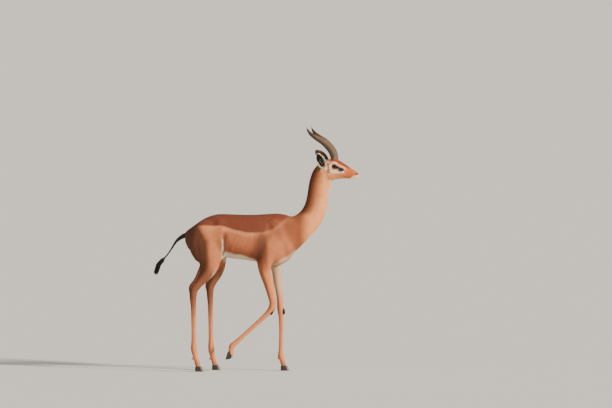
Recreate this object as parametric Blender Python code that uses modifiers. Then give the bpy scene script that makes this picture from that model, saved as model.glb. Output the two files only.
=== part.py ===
"""A male gerenuk, life size, walking with its right forefoot lifted.

The animal faces +X, +Z is up and its right side is -Y. Tubes and muscles are joined into one
skin, which is then parted by thin cuts into the torso, neck and legs. The head is made finer.
"""
import math
import random

import bmesh
import bpy
import numpy as np
from mathutils import Matrix, Vector
from mathutils.bvhtree import BVHTree

# Driving sizes, in metres
GAP = 0.0003
BODY_VOXEL = 0.004
HEAD_VOXEL = 0.0022
BODY_TRIANGLES = 4700
HEAD_TRIANGLES = 2900
HEAD_YAW = math.radians(-12)
HEAD_PIVOT = Vector((0.43, 0, 1.25))
EYE_RADIUS = 0.0155
EYE_CENTRE = Vector((0.501, 0.0380, 1.2965))
EYE_AXIS = Vector((0.30, 1.0, 0.12)).normalized()
EAR_LENGTH = 0.146
CLAW_LENGTH = 0.054
CLAW_WIDTH = 0.0185
CLAW_HEIGHT = 0.034
CLAW_SPREAD = 0.0105
CORONET_BACK = 0.007
TRUNK_LEVEL = 0.68
RAY_STEP = 1e-6
HORN_RINGS = 18
SEED = 7

# Torso sections: x, back line, belly line, half width, widening towards the top
TORSO = [
    (-0.458, 0.882, 0.818, 0.020, 0.00),
    (-0.438, 0.898, 0.776, 0.046, -0.05),
    (-0.395, 0.929, 0.750, 0.070, -0.12),
    (-0.330, 0.972, 0.735, 0.086, -0.18),
    (-0.257, 0.996, 0.728, 0.094, -0.20),
    (-0.178, 0.997, 0.716, 0.100, -0.22),
    (-0.095, 0.994, 0.706, 0.107, -0.22),
    (-0.014, 0.994, 0.694, 0.108, -0.25),
    (0.060, 0.998, 0.681, 0.099, -0.34),
    (0.125, 1.002, 0.670, 0.084, -0.42),
    (0.165, 0.998, 0.678, 0.072, -0.40),
    (0.205, 0.986, 0.706, 0.060, -0.30),
    (0.238, 0.955, 0.752, 0.046, -0.20),
]
# Neck sections: back line x, z, then throat line x, z, then half width
NECK = [
    (0.120, 0.994, 0.190, 0.720, 0.064),
    (0.183, 0.992, 0.238, 0.762, 0.064),
    (0.241, 0.992, 0.312, 0.832, 0.061),
    (0.281, 1.021, 0.385, 0.908, 0.056),
    (0.303, 1.061, 0.432, 0.990, 0.053),
    (0.316, 1.112, 0.450, 1.085, 0.050),
    (0.324, 1.166, 0.464, 1.150, 0.050),
    (0.336, 1.220, 0.477, 1.196, 0.050),
    (0.357, 1.276, 0.487, 1.226, 0.049),
    (0.385, 1.312, 0.490, 1.262, 0.044),
]
# Leg sections from the top down: x, y, z, half thickness along the stride, half width
LEGS = {
    "foreleg_right": [
        (0.085, -0.066, 0.780, 0.060, 0.034),
        (0.050, -0.074, 0.705, 0.054, 0.036),
        (0.048, -0.074, 0.653, 0.042, 0.032),
        (0.073, -0.071, 0.562, 0.033, 0.026),
        (0.092, -0.068, 0.480, 0.026, 0.021),
        (0.101, -0.066, 0.432, 0.0235, 0.021),
        (0.094, -0.064, 0.399, 0.0240, 0.0225),
        (0.071, -0.063, 0.371, 0.0190, 0.0195),
        (0.035, -0.062, 0.336, 0.0165, 0.0160),
        (-0.030, -0.060, 0.277, 0.0150, 0.0142),
        (-0.100, -0.059, 0.213, 0.0150, 0.0142),
        (-0.138, -0.058, 0.178, 0.0175, 0.0165),
        (-0.159, -0.058, 0.157, 0.0205, 0.0195),
        (-0.165, -0.058, 0.128, 0.0160, 0.0170),
        (-0.164, -0.058, 0.104, 0.0175, 0.0190),
        (-0.166, -0.058, 0.090, 0.0150, 0.0160),
    ],
    "foreleg_left": [
        (0.100, 0.066, 0.780, 0.060, 0.034),
        (0.112, 0.068, 0.705, 0.052, 0.035),
        (0.124, 0.062, 0.645, 0.037, 0.030),
        (0.131, 0.054, 0.562, 0.0275, 0.0245),
        (0.141, 0.046, 0.488, 0.0220, 0.0205),
        (0.147, 0.040, 0.430, 0.0215, 0.0205),
        (0.149, 0.036, 0.394, 0.0230, 0.0225),
        (0.152, 0.033, 0.352, 0.0185, 0.0185),
        (0.153, 0.030, 0.300, 0.0158, 0.0152),
        (0.153, 0.025, 0.200, 0.0148, 0.0142),
        (0.152, 0.021, 0.130, 0.0158, 0.0152),
        (0.152, 0.019, 0.092, 0.0205, 0.0195),
        (0.160, 0.018, 0.062, 0.0160, 0.0170),
        (0.168, 0.018, 0.038, 0.0175, 0.0190),
        (0.170, 0.018, 0.024, 0.0150, 0.0160),
    ],
    "hindleg_right": [
        (-0.330, -0.052, 0.880, 0.085, 0.040),
        (-0.328, -0.060, 0.805, 0.106, 0.046),
        (-0.314, -0.066, 0.748, 0.094, 0.046),
        (-0.300, -0.070, 0.702, 0.073, 0.044),
        (-0.303, -0.074, 0.660, 0.058, 0.039),
        (-0.318, -0.078, 0.622, 0.044, 0.032),
        (-0.345, -0.082, 0.585, 0.033, 0.025),
        (-0.374, -0.086, 0.552, 0.0270, 0.0215),
        (-0.400, -0.089, 0.516, 0.0270, 0.0215),
        (-0.405, -0.091, 0.470, 0.0230, 0.0195),
        (-0.403, -0.093, 0.420, 0.0190, 0.0168),
        (-0.401, -0.096, 0.320, 0.0168, 0.0150),
        (-0.400, -0.099, 0.200, 0.0168, 0.0150),
        (-0.398, -0.100, 0.135, 0.0210, 0.0195),
        (-0.390, -0.100, 0.095, 0.0165, 0.0168),
        (-0.381, -0.100, 0.062, 0.0165, 0.0175),
        (-0.374, -0.100, 0.038, 0.0175, 0.0190),
        (-0.372, -0.100, 0.024, 0.0150, 0.0160),
    ],
    "hindleg_left": [
        (-0.310, 0.052, 0.880, 0.085, 0.040),
        (-0.295, 0.060, 0.805, 0.100, 0.046),
        (-0.275, 0.064, 0.745, 0.090, 0.046),
        (-0.256, 0.068, 0.695, 0.066, 0.041),
        (-0.249, 0.071, 0.652, 0.046, 0.034),
        (-0.259, 0.074, 0.606, 0.033, 0.026),
        (-0.279, 0.077, 0.568, 0.0265, 0.0215),
        (-0.297, 0.080, 0.532, 0.0265, 0.0215),
        (-0.300, 0.082, 0.485, 0.0225, 0.0190),
        (-0.298, 0.084, 0.425, 0.0185, 0.0165),
        (-0.296, 0.087, 0.320, 0.0165, 0.0148),
        (-0.294, 0.090, 0.200, 0.0165, 0.0148),
        (-0.291, 0.092, 0.122, 0.0205, 0.0190),
        (-0.283, 0.092, 0.085, 0.0162, 0.0168),
        (-0.275, 0.092, 0.055, 0.0165, 0.0175),
        (-0.269, 0.092, 0.036, 0.0175, 0.0190),
        (-0.267, 0.092, 0.024, 0.0150, 0.0160),
    ],
}
# The tendon behind each hind leg, from the gaskin to the point of the hock
TENDONS = [
    [(-0.350, -0.078, 0.672, 0.0150, 0.012), (-0.394, -0.085, 0.580, 0.0095, 0.009),
     (-0.420, -0.088, 0.531, 0.0140, 0.013), (-0.418, -0.090, 0.498, 0.0120, 0.012)],
    [(-0.283, 0.073, 0.655, 0.0150, 0.012), (-0.301, 0.077, 0.585, 0.0095, 0.009),
     (-0.318, 0.080, 0.541, 0.0140, 0.013), (-0.314, 0.082, 0.510, 0.0120, 0.012)],
]
# Muscles and bones on each side: x, y, z, radii along x, y, z, and lean about y in degrees
MUSCLES = [
    (0.125, 0.056, 0.870, 0.052, 0.026, 0.110, -22),
    (0.185, 0.046, 0.775, 0.040, 0.028, 0.045, 0),
    (0.070, 0.066, 0.762, 0.068, 0.030, 0.062, 30),
    (-0.235, 0.060, 0.938, 0.034, 0.020, 0.024, 0),
    (-0.318, 0.050, 0.865, 0.098, 0.038, 0.095, 0),
    (-0.230, 0.060, 0.760, 0.040, 0.022, 0.060, 20),
]
# Soles of the feet: x, y, z and pitch in degrees
FEET = {
    "foreleg_right": (-0.193, -0.058, 0.101, 107),
    "foreleg_left": (0.177, 0.018, 0, 0),
    "hindleg_right": (-0.365, -0.100, 0, 0),
    "hindleg_left": (-0.260, 0.092, 0, 0),
}
# Head sections before it turns: x, top, bottom, half width, widening towards the top
HEAD = [
    (0.392, 1.306, 1.238, 0.030, 0.00),
    (0.408, 1.326, 1.216, 0.041, 0.05),
    (0.430, 1.341, 1.206, 0.047, 0.10),
    (0.458, 1.346, 1.206, 0.050, 0.14),
    (0.486, 1.346, 1.211, 0.049, 0.18),
    (0.512, 1.342, 1.216, 0.043, 0.16),
    (0.540, 1.330, 1.2195, 0.034, 0.08),
    (0.570, 1.3105, 1.2215, 0.0275, 0.00),
    (0.600, 1.2905, 1.2220, 0.0235, -0.04),
    (0.622, 1.2765, 1.2190, 0.0220, -0.02),
    (0.638, 1.2665, 1.2180, 0.0195, 0.00),
    (0.6485, 1.2570, 1.2230, 0.0135, 0.00),
]
# Bony forms of the head on each side: x, y, z, radii, lean
HEAD_FORMS = [
    (0.494, 0.034, 1.322, 0.028, 0.0165, 0.012, 12),
    (0.462, 0.033, 1.312, 0.034, 0.0150, 0.020, 0),
    (0.512, 0.028, 1.268, 0.052, 0.0145, 0.016, 10),
    (0.462, 0.032, 1.246, 0.038, 0.0150, 0.030, 10),
    (0.637, 0.010, 1.2525, 0.012, 0.010, 0.0105, 30),
]
LIPS = [(0.578, 0.0110), (0.596, 0.0165), (0.612, 0.0180), (0.628, 0.0160), (0.638, 0.0090), (0.6405, 0)]
LIP_LEVELS = [(1.2380, 0.0058), (1.2250, 0.0050)]
MOUTH_LEVEL = 1.2315
MOUTH_LINE = [(0.594, 0.0240), (0.610, 0.0250), (0.626, 0.0232), (0.638, 0.0165), (0.6455, 0.0085),
              (0.6480, 0)]
MOUTH_CUT = 0.0012
NOSTRIL = Vector((0.6415, 0.0140, 1.2520))
NOSTRIL_RADII = (0.0060, 0.0042, 0.0026)
# Horn: x, z and distance from the middle plane before the head turns, then half thickness
HORN = [
    (0.491, 1.322, 0.0215, 0.0180),
    (0.493, 1.345, 0.0230, 0.0193),
    (0.487, 1.379, 0.0265, 0.0208),
    (0.461, 1.421, 0.0345, 0.0203),
    (0.425, 1.456, 0.0460, 0.0185),
    (0.379, 1.486, 0.0610, 0.0150),
    (0.346, 1.514, 0.0710, 0.0100),
    (0.333, 1.534, 0.0735, 0.0060),
    (0.329, 1.551, 0.0725, 0.0022),
]
HORN_RINGED = 0.76
HORN_NARROW = 0.84
# Each ear: root, direction of its length, and the side that its cup faces
EARS = {
    "ear_right": ((0.437, -0.042, 1.289), (-0.149, -0.788, 0.600), (0.546, -0.548, -0.63)),
    "ear_left": ((0.444, 0.038, 1.324), (-0.648, 0.598, 0.470), (0.413, 0.701, -0.58)),
}
# Ear sections: place along the ear, radius of its curl, half angle of the curl in degrees
EAR = [
    (0.00, 0.0135, 150),
    (0.10, 0.0160, 138),
    (0.22, 0.0215, 116),
    (0.38, 0.0280, 94),
    (0.55, 0.0320, 78),
    (0.72, 0.0310, 60),
    (0.86, 0.0240, 46),
    (0.95, 0.0145, 38),
    (1.00, 0.0060, 32),
]
EAR_THICKNESS = 0.0032
EAR_DEPTH = 0.012
# The stump that each ear grows from: its start behind the ear's root, its step and its radii
EAR_STUMP_BACK = 0.02
EAR_STUMP_STEP = 0.012
EAR_STUMP = (0.016, 0.018, 0.0175, 0.0150)
# The raised skin round each horn's foot
HORN_SEAT_LEVEL = 1.338
HORN_SEAT = (0.026, 0.021, 0.018)
# Lids: height of the arc against the eye, and thickness, for the upper and the lower one
LIDS = [(0.74, 0.0036), (-0.70, 0.0030)]
LID_LIFT = 0.0012
# Dewclaws: place behind, beside and below the fetlock, and radii
DEWCLAW = (0.017, 0.010, 0.012)
DEWCLAW_RADII = (0.008, 0.006, 0.009)
TAIL = [
    (-0.425, 0, 0.866, 0.0170, 0.0170),
    (-0.456, 0, 0.861, 0.0150, 0.0150),
    (-0.490, 0, 0.843, 0.0115, 0.0115),
    (-0.513, 0, 0.822, 0.0080, 0.0080),
    (-0.530, 0, 0.797, 0.0058, 0.0058),
    (-0.551, 0, 0.764, 0.0050, 0.0050),
    (-0.570, 0, 0.737, 0.0050, 0.0050),
    (-0.593, 0, 0.712, 0.0050, 0.0050),
    (-0.610, 0, 0.692, 0.0060, 0.0060),
    (-0.622, 0, 0.670, 0.0050, 0.0050),
    (-0.631, 0, 0.648, 0.0025, 0.0025),
]
LOCK_WIDTH = 0.0062
TUFT_LOCKS = 16
TUFT_LENGTH = 0.056
BRUSH_LOCKS = 7
BRUSH_LENGTH = 0.030
BRUSH_CORE = (0.011, 0.017, 0.014)
# Knee brushes: middle of the brush, the way it faces and the way its hair hangs
BRUSHES = {
    "knee_brush_right": ((0.1065, -0.064, 0.380), (0.80, 0, -0.60), (-0.45, 0, -0.90)),
    "knee_brush_left": ((0.1665, 0.036, 0.386), (1.0, 0, 0.0), (0.05, 0, -1.0)),
}
# Cuts: a point, the plane's normal, and the half sizes of the blade across and along it
CUTS = [
    ((0.238, 0, 0.886), (0.975, 0, 0.223), 0.12, 0.150),
    ((0.427, 0, 1.2525), (0.654, 0, 0.757), 0.10, 0.110),
    ((0.050, -0.075, 0.690), (0, -0.50, -0.87), 0.13, 0.085),
    ((0.110, 0.075, 0.690), (0, 0.50, -0.87), 0.12, 0.085),
    ((-0.315, -0.075, 0.768), (-0.45, -0.80, -0.60), 0.20, 0.130),
    ((-0.280, 0.075, 0.768), (-0.45, 0.80, -0.60), 0.20, 0.130),
    ((0.099, -0.066, 0.420), (0.30, 0, -0.95), 0.045, 0.045),
    ((0.148, 0.038, 0.412), (0, 0, -1), 0.045, 0.036),
    ((-0.392, -0.088, 0.540), (-0.55, 0, -0.83), 0.060, 0.045),
    ((-0.292, 0.079, 0.552), (-0.40, 0, -0.92), 0.060, 0.045),
]
# A point deep in each piece that the cuts leave
INSIDES = {
    "torso": (-0.050, 0, 0.850),
    "neck": (0.380, 0, 1.080),
    "foreleg_right_upper": (0.073, -0.071, 0.562),
    "foreleg_right_lower": (-0.030, -0.060, 0.277),
    "foreleg_left_upper": (0.131, 0.054, 0.562),
    "foreleg_left_lower": (0.153, 0.025, 0.200),
    "hindleg_right_upper": (-0.303, -0.074, 0.660),
    "hindleg_right_lower": (-0.401, -0.096, 0.320),
    "hindleg_left_upper": (-0.256, 0.068, 0.690),
    "hindleg_left_lower": (-0.296, 0.087, 0.320),
}
# Colours in linear light and roughness
MATERIALS = {
    "coat_body": ((0.42, 0.17, 0.07), 0.75),
    "coat_neck": ((0.50, 0.24, 0.12), 0.75),
    "coat_head": ((0.40, 0.15, 0.06), 0.75),
    "coat_leg": ((0.50, 0.23, 0.11), 0.75),
    "ear_skin": ((0.36, 0.22, 0.14), 0.80),
    "tail_hair": ((0.03, 0.025, 0.02), 0.85),
    "knee_hair": ((0.05, 0.03, 0.02), 0.85),
    "horn": ((0.12, 0.09, 0.06), 0.55),
    "hoof": ((0.04, 0.03, 0.025), 0.45),
    "eye": ((0.015, 0.009, 0.006), 0.12),
}


def clear_scene():
    for item in list(bpy.data.objects):
        bpy.data.objects.remove(item, do_unlink=True)


def new_collection(name):
    collection = bpy.data.collections.new(name)
    bpy.context.scene.collection.children.link(collection)
    return collection


def add_object(name, mesh, collection):
    item = bpy.data.objects.new(name, mesh)
    collection.objects.link(item)
    return item


def add_tool(name, mesh):
    """A helper solid that is used for a cut or a union and is then removed."""
    item = add_object(name, mesh, TOOLS)
    item.hide_render = True
    item.display_type = "WIRE"
    return item


def discard(item):
    mesh = item.data
    bpy.data.objects.remove(item, do_unlink=True)
    bpy.data.meshes.remove(mesh)


def smooth_rows(rows, count):
    """Rows of numbers read from a smooth curve through the given ones, evenly along its length."""
    rows = np.array(rows, float)
    steps = np.linalg.norm(np.diff(rows[:, :3], axis=0), axis=1)
    along = np.concatenate([[0], np.cumsum(steps)])
    slopes = np.gradient(rows, along, axis=0)
    wanted = np.linspace(0, along[-1], count)
    place = np.clip(np.searchsorted(along, wanted, side="right") - 1, 0, len(rows) - 2)
    span = (along[place + 1] - along[place])[:, None]
    t = (wanted - along[place])[:, None] / span
    start, end = rows[place], rows[place + 1]
    rise, fall = slopes[place] * span, slopes[place + 1] * span
    return ((2 * t**3 - 3 * t**2 + 1) * start + (t**3 - 2 * t**2 + t) * rise
            + (3 * t**2 - 2 * t**3) * end + (t**3 - t**2) * fall)


def loft(rings):
    """A closed mesh through rings of equally many points, with a flat cap at each end."""
    shape = bmesh.new()
    rows = [[shape.verts.new(point) for point in ring] for ring in rings]
    for low, high in zip(rows, rows[1:]):
        for i in range(len(low)):
            j = (i + 1) % len(low)
            shape.faces.new((low[i], low[j], high[j], high[i]))
    shape.faces.new(rows[0])
    shape.faces.new(rows[-1])
    return to_mesh(shape)


def to_mesh(shape):
    bmesh.ops.recalc_face_normals(shape, faces=shape.faces)
    mesh = bpy.data.meshes.new("shape")
    shape.to_mesh(mesh)
    shape.free()
    return mesh


def tube(rows, count, sides, square=2.0, upright=False):
    """A tube along x, y, z centres, its sections upright or across it. Its sides keep near Y."""
    rows = smooth_rows(rows, count)
    centres = rows[:, :3]
    ways = np.gradient(centres, axis=0)
    rings = []
    for centre, way, row in zip(centres, ways, rows):
        way = way / np.linalg.norm(way)
        side = np.array([0.0, 1.0, 0.0]) - way * way[1]
        side /= np.linalg.norm(side)
        up = np.array([0.0, 0.0, 1.0]) if upright else np.cross(way, side)
        lean = row[5] if len(row) > 5 else 0.0
        ring = []
        for k in range(sides):
            angle = 2 * math.pi * k / sides
            across = math.copysign(abs(math.cos(angle)) ** (2 / square), math.cos(angle))
            along = math.copysign(abs(math.sin(angle)) ** (2 / square), math.sin(angle))
            wide = row[4] * across * (1 + lean * along)
            ring.append(centre + side * wide + up * row[3] * along)
        rings.append(ring)
    return loft(rings)


def upright_rows(table):
    """Rows for a tube from x, top, bottom, half width and an optional widening to the top."""
    rows = []
    for x, top, bottom, width, *lean in table:
        rows.append((x, 0, (top + bottom) / 2, (top - bottom) / 2, width, *lean))
    return rows


def neck_rows():
    rows = []
    for back_x, back_z, throat_x, throat_z, width in NECK:
        depth = math.hypot(throat_x - back_x, throat_z - back_z) / 2
        rows.append(((back_x + throat_x) / 2, 0, (back_z + throat_z) / 2, depth, width))
    return rows


def ellipsoid(centre, radii, lean=0.0, turn=0.0, sides=20):
    shape = bmesh.new()
    bmesh.ops.create_uvsphere(shape, u_segments=sides, v_segments=sides // 2, radius=1)
    place = Matrix.Translation(centre) @ Matrix.Rotation(turn, 4, "Z")
    place = place @ Matrix.Rotation(lean, 4, "Y") @ Matrix.Diagonal((*radii, 1))
    bmesh.ops.transform(shape, matrix=place, verts=shape.verts)
    return to_mesh(shape)


def mirrored_forms(table):
    meshes = []
    for x, y, z, rx, ry, rz, lean in table:
        for side in (-1, 1):
            meshes.append(ellipsoid((x, side * y, z), (rx, ry, rz), math.radians(lean)))
    return meshes


def joined(meshes):
    """One mesh that holds all the given closed ones, which are removed."""
    shape = bmesh.new()
    for mesh in meshes:
        shape.from_mesh(mesh)
        bpy.data.meshes.remove(mesh)
    mesh = bpy.data.meshes.new("shape")
    shape.to_mesh(mesh)
    shape.free()
    return mesh


def evaluated(item):
    """Replaces an object's mesh by what its modifiers make of it."""
    depsgraph = bpy.context.evaluated_depsgraph_get()
    mesh = bpy.data.meshes.new_from_object(item.evaluated_get(depsgraph))
    old = item.data
    item.modifiers.clear()
    item.data = mesh
    bpy.data.meshes.remove(old)


def triangulated(item):
    shape = bmesh.new()
    shape.from_mesh(item.data)
    bmesh.ops.triangulate(shape, faces=shape.faces)
    shape.to_mesh(item.data)
    shape.free()


def soften(item, rounds, chosen):
    """Rounds off the chosen points, by their numbers."""
    group = item.vertex_groups.new(name="soft")
    group.add(list(chosen), 1.0, "REPLACE")
    smooth = item.modifiers.new("soften", "SMOOTH")
    smooth.factor = 0.5
    smooth.iterations = rounds
    smooth.vertex_group = "soft"
    evaluated(item)
    item.vertex_groups.clear()


def fused(name, meshes, voxel, triangles, smoothing, broad=0):
    """Overlapping closed meshes as one skin of about the given number of triangles."""
    item = add_tool(name, joined(meshes))
    remesh = item.modifiers.new("skin", "REMESH")
    remesh.mode = "VOXEL"
    remesh.voxel_size = voxel
    evaluated(item)
    if broad:
        soften(item, broad, [v.index for v in item.data.vertices if v.co.z > TRUNK_LEVEL])
    soften(item, smoothing, range(len(item.data.vertices)))
    triangulated(item)
    decimate = item.modifiers.new("coarsen", "DECIMATE")
    decimate.ratio = triangles / len(item.data.polygons)
    evaluated(item)
    triangulated(item)
    return item


def boolean(item, tool, operation, solver="MANIFOLD"):
    modifier = item.modifiers.new("boolean", "BOOLEAN")
    modifier.operation = operation
    modifier.solver = solver
    modifier.object = tool
    evaluated(item)
    discard(tool)


def shells(mesh):
    """The closed surfaces of a mesh, as lists of face numbers, largest first."""
    shape = bmesh.new()
    shape.from_mesh(mesh)
    shape.faces.ensure_lookup_table()
    seen = set()
    groups = []
    for face in shape.faces:
        if face.index in seen:
            continue
        seen.add(face.index)
        group = [face]
        for member in group:
            for edge in member.edges:
                for other in edge.link_faces:
                    if other.index not in seen:
                        seen.add(other.index)
                        group.append(other)
        groups.append([member.index for member in group])
    shape.free()
    return sorted(groups, key=len, reverse=True)


def kept_faces(mesh, faces):
    """A copy of the mesh with only the given faces."""
    shape = bmesh.new()
    shape.from_mesh(mesh)
    shape.faces.ensure_lookup_table()
    wanted = set(faces)
    others = [face for face in shape.faces if face.index not in wanted]
    bmesh.ops.delete(shape, geom=others, context="FACES")
    loose = [vert for vert in shape.verts if not vert.link_faces]
    bmesh.ops.delete(shape, geom=loose, context="VERTS")
    bmesh.ops.triangulate(shape, faces=shape.faces)
    return to_mesh(shape)


def keep_largest(item):
    old = item.data
    item.data = kept_faces(old, shells(old)[0])
    bpy.data.meshes.remove(old)


def swollen(item, distance):
    """A helper solid whose surface lies outside the item's by the distance."""
    mesh = item.data.copy()
    shape = bmesh.new()
    shape.from_mesh(mesh)
    shape.normal_update()
    moved = [vert.co + vert.normal * vert.calc_shell_factor() * distance for vert in shape.verts]
    for vert, place in zip(shape.verts, moved):
        vert.co = place
    shape.to_mesh(mesh)
    shape.free()
    return add_tool("swollen", mesh)


def clear_of(item, neighbour, distance=GAP):
    """Cuts an item back to the surface of its neighbour, with a gap."""
    boolean(item, swollen(neighbour, distance), "DIFFERENCE")
    keep_largest(item)


def turn_head(mesh):
    place = Matrix.Translation(HEAD_PIVOT) @ Matrix.Rotation(HEAD_YAW, 4, "Z")
    mesh.transform(place @ Matrix.Translation(-HEAD_PIVOT))
    return mesh


def blade(point, normal, across, along):
    """A thin box for a cut, whose width runs across the plane's slope and keeps to Y or X."""
    normal = Vector(normal).normalized()
    first = Vector((0, 1, 0)) if abs(normal.y) < 0.1 else Vector((1, 0, 0))
    first = (first - normal * first.dot(normal)).normalized()
    second = normal.cross(first).normalized()
    shape = bmesh.new()
    bmesh.ops.create_cube(shape, size=2)
    frame = Matrix((first, second, normal)).transposed().to_4x4()
    sizes = Matrix.Diagonal((across, along, GAP / 2, 1))
    bmesh.ops.transform(shape, matrix=Matrix.Translation(point) @ frame @ sizes, verts=shape.verts)
    return add_tool("blade", to_mesh(shape))


def body_skin():
    """Torso, neck and legs as one skin."""
    meshes = [tube(upright_rows(TORSO), 40, 28, 2.2, upright=True), tube(neck_rows(), 36, 24)]
    for rows in LEGS.values():
        meshes.append(tube(rows, 70, 18))
    for rows in TENDONS:
        meshes.append(tube(rows, 14, 12))
    meshes += mirrored_forms(MUSCLES)
    meshes.append(turn_head(tube(upright_rows(HEAD), 40, 24, upright=True)))
    meshes += dewclaws()
    return fused("body", meshes, BODY_VOXEL, BODY_TRIANGLES, 4, broad=40)


def dewclaws():
    """Two small nubs behind each fetlock."""
    meshes = []
    for rows in LEGS.values():
        fetlock = rows[-4]
        for side in (-1, 1):
            centre = (fetlock[0] - DEWCLAW[0], fetlock[1] + side * DEWCLAW[1], fetlock[2] - DEWCLAW[2])
            meshes.append(ellipsoid(centre, DEWCLAW_RADII))
    return meshes


def lid_meshes(side):
    """Upper and lower lid round one eye, before the head turns."""
    centre = Vector((EYE_CENTRE.x, side * EYE_CENTRE.y, EYE_CENTRE.z))
    axis = Vector((EYE_AXIS.x, side * EYE_AXIS.y, EYE_AXIS.z))
    front = Vector((1, 0, -0.25))
    front = (front - axis * front.dot(axis)).normalized()
    top = axis.cross(front) * (-side)
    top.normalize()
    meshes = []
    for height, thickness in LIDS:
        rows = []
        for k in range(9):
            angle = math.pi * k / 8
            offset = front * math.cos(angle) + top * math.sin(angle) * height
            point = centre + (offset + axis * 0.52).normalized() * (EYE_RADIUS + LID_LIFT)
            rows.append((*point, thickness, thickness))
        meshes.append(curve_tube(rows, 20, 8))
    return meshes


def curve_tube(rows, count, sides):
    """A round tube along any route, with a frame that turns as little as it can."""
    rows = smooth_rows(rows, count)
    centres = rows[:, :3]
    ways = np.gradient(centres, axis=0)
    ways /= np.linalg.norm(ways, axis=1)[:, None]
    side = np.cross(ways[0], [0.13, 0.21, 0.97])
    rings = []
    for centre, way, row in zip(centres, ways, rows):
        side = side - way * np.dot(side, way)
        side /= np.linalg.norm(side)
        up = np.cross(way, side)
        angles = [2 * math.pi * k / sides for k in range(sides)]
        rings.append([centre + (side * math.cos(a) + up * math.sin(a)) * row[3] for a in angles])
    return loft(rings)


def lip_meshes():
    meshes = []
    for level, radius in LIP_LEVELS:
        route = [(x, -y) for x, y in LIPS] + [(x, y) for x, y in LIPS[-2::-1]]
        rows = [(x, y, level, radius, radius) for x, y in route]
        meshes.append(curve_tube(rows, 24, 10))
    return meshes


def head_skin():
    meshes = [tube(upright_rows(HEAD), 48, 28, 2.2, upright=True)]
    meshes += mirrored_forms(HEAD_FORMS)
    for side in (-1, 1):
        meshes += lid_meshes(side)
        meshes.append(ellipsoid((HORN[0][0], side * HORN[0][2], HORN_SEAT_LEVEL), HORN_SEAT))
    meshes += lip_meshes()
    meshes = [turn_head(mesh) for mesh in meshes]
    for root, way, _ in EARS.values():
        way = Vector(way).normalized()
        start = Vector(root) - way * EAR_STUMP_BACK
        rows = [(*(start + way * EAR_STUMP_STEP * k), radius, radius)
                for k, radius in enumerate(EAR_STUMP)]
        meshes.append(turn_head(curve_tube(rows, 8, 12)))
    meshes.append(tube(neck_rows()[5:], 20, 24))
    return fused("head", meshes, HEAD_VOXEL, HEAD_TRIANGLES, 5)


def cut_mouth_and_nostrils(head):
    route = [(x, -y) for x, y in MOUTH_LINE] + [(x, y) for x, y in MOUTH_LINE[-2::-1]]
    rows = [(x, y, MOUTH_LEVEL, MOUTH_CUT, MOUTH_CUT) for x, y in route]
    boolean(head, add_tool("mouth", turn_head(curve_tube(rows, 16, 6))), "DIFFERENCE")
    for side in (-1, 1):
        centre = (NOSTRIL.x, side * NOSTRIL.y, NOSTRIL.z)
        nostril = ellipsoid(centre, NOSTRIL_RADII, math.radians(-35), math.radians(side * 60), 10)
        boolean(head, add_tool("nostril", turn_head(nostril)), "DIFFERENCE")
    keep_largest(head)


def horn_mesh(side):
    """A ringed horn that rises, sweeps back and out, and hooks up at its tip."""
    rows = [(x, side * y, z, radius, radius) for x, z, y, radius in HORN]
    count = round(HORN_RINGS * 2 / HORN_RINGED)
    rows = smooth_rows(rows, count)
    centres = rows[:, :3]
    ways = np.gradient(centres, axis=0)
    rings = []
    sides = 10
    for k, (centre, way, row) in enumerate(zip(centres, ways, rows)):
        way = way / np.linalg.norm(way)
        across = np.array([0.0, 1.0, 0.0]) - way * way[1]
        across /= np.linalg.norm(across)
        fore = np.cross(across, way)
        ringed = k / (count - 1) < HORN_RINGED
        ridge = (0.11, 0.0)[k % 2] if ringed else 0.03
        ring = []
        for n in range(sides):
            angle = 2 * math.pi * n / sides
            front = 0.6 + 0.4 * math.sin(angle)
            radius = row[3] * (1 + ridge * front)
            ring.append(centre + across * radius * HORN_NARROW * math.cos(angle)
                        + fore * radius * math.sin(angle))
        rings.append(ring)
    return turn_head(loft(rings))


def ear_mesh(root, way, facing):
    """A leaf-shaped ear, curled into a cup that narrows to a tube at its root."""
    way = Vector(way).normalized()
    facing = Vector(facing)
    facing = (facing - way * facing.dot(way)).normalized()
    across = way.cross(facing)
    steps = 5
    places = np.linspace(0, 1, 12)
    curls = np.interp(places, [row[0] for row in EAR], [row[1] for row in EAR])
    angles = np.radians(np.interp(places, [row[0] for row in EAR], [row[2] for row in EAR]))
    rings = []
    for place, curl, half in zip(places, curls, angles):
        middle = Vector(root) + way * (place * EAR_LENGTH) - facing * EAR_DEPTH * place * (1 - place) * 4
        thick = EAR_THICKNESS * (1 - 0.55 * place)
        outer = []
        inner = []
        for k in range(2 * steps + 1):
            angle = half * (k - steps) / steps
            spoke = across * math.sin(angle) - facing * math.cos(angle)
            rim = 1 - 0.5 * abs(k - steps) / steps
            hub = middle + facing * (curl - EAR_DEPTH)
            outer.append(hub + spoke * curl)
            inner.append(hub + spoke * (curl - min(thick * rim, curl * 0.5)))
        rings.append(outer + inner[::-1])
    return turn_head(loft(rings))


def lock_mesh(root, way, flat, length, width, bend, sides=4, count=4):
    """A flat tapered lock of hair. Flat is the way its thin side faces, bend its sideways curve."""
    root = Vector(root)
    way = Vector(way).normalized()
    flat = Vector(flat)
    flat = (flat - way * flat.dot(way)).normalized()
    across = way.cross(flat)
    rings = []
    for k in range(count):
        t = k / (count - 1)
        centre = root + way * (length * t) + Vector(bend) * (t * t)
        size = width * (0.75 + 1.0 * t - 1.65 * t * t)
        ring = []
        for n in range(sides):
            angle = 2 * math.pi * n / sides
            ring.append(centre + across * size * math.cos(angle)
                        + flat * size * 0.45 * math.sin(angle))
        rings.append(ring)
    return loft(rings)


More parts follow.
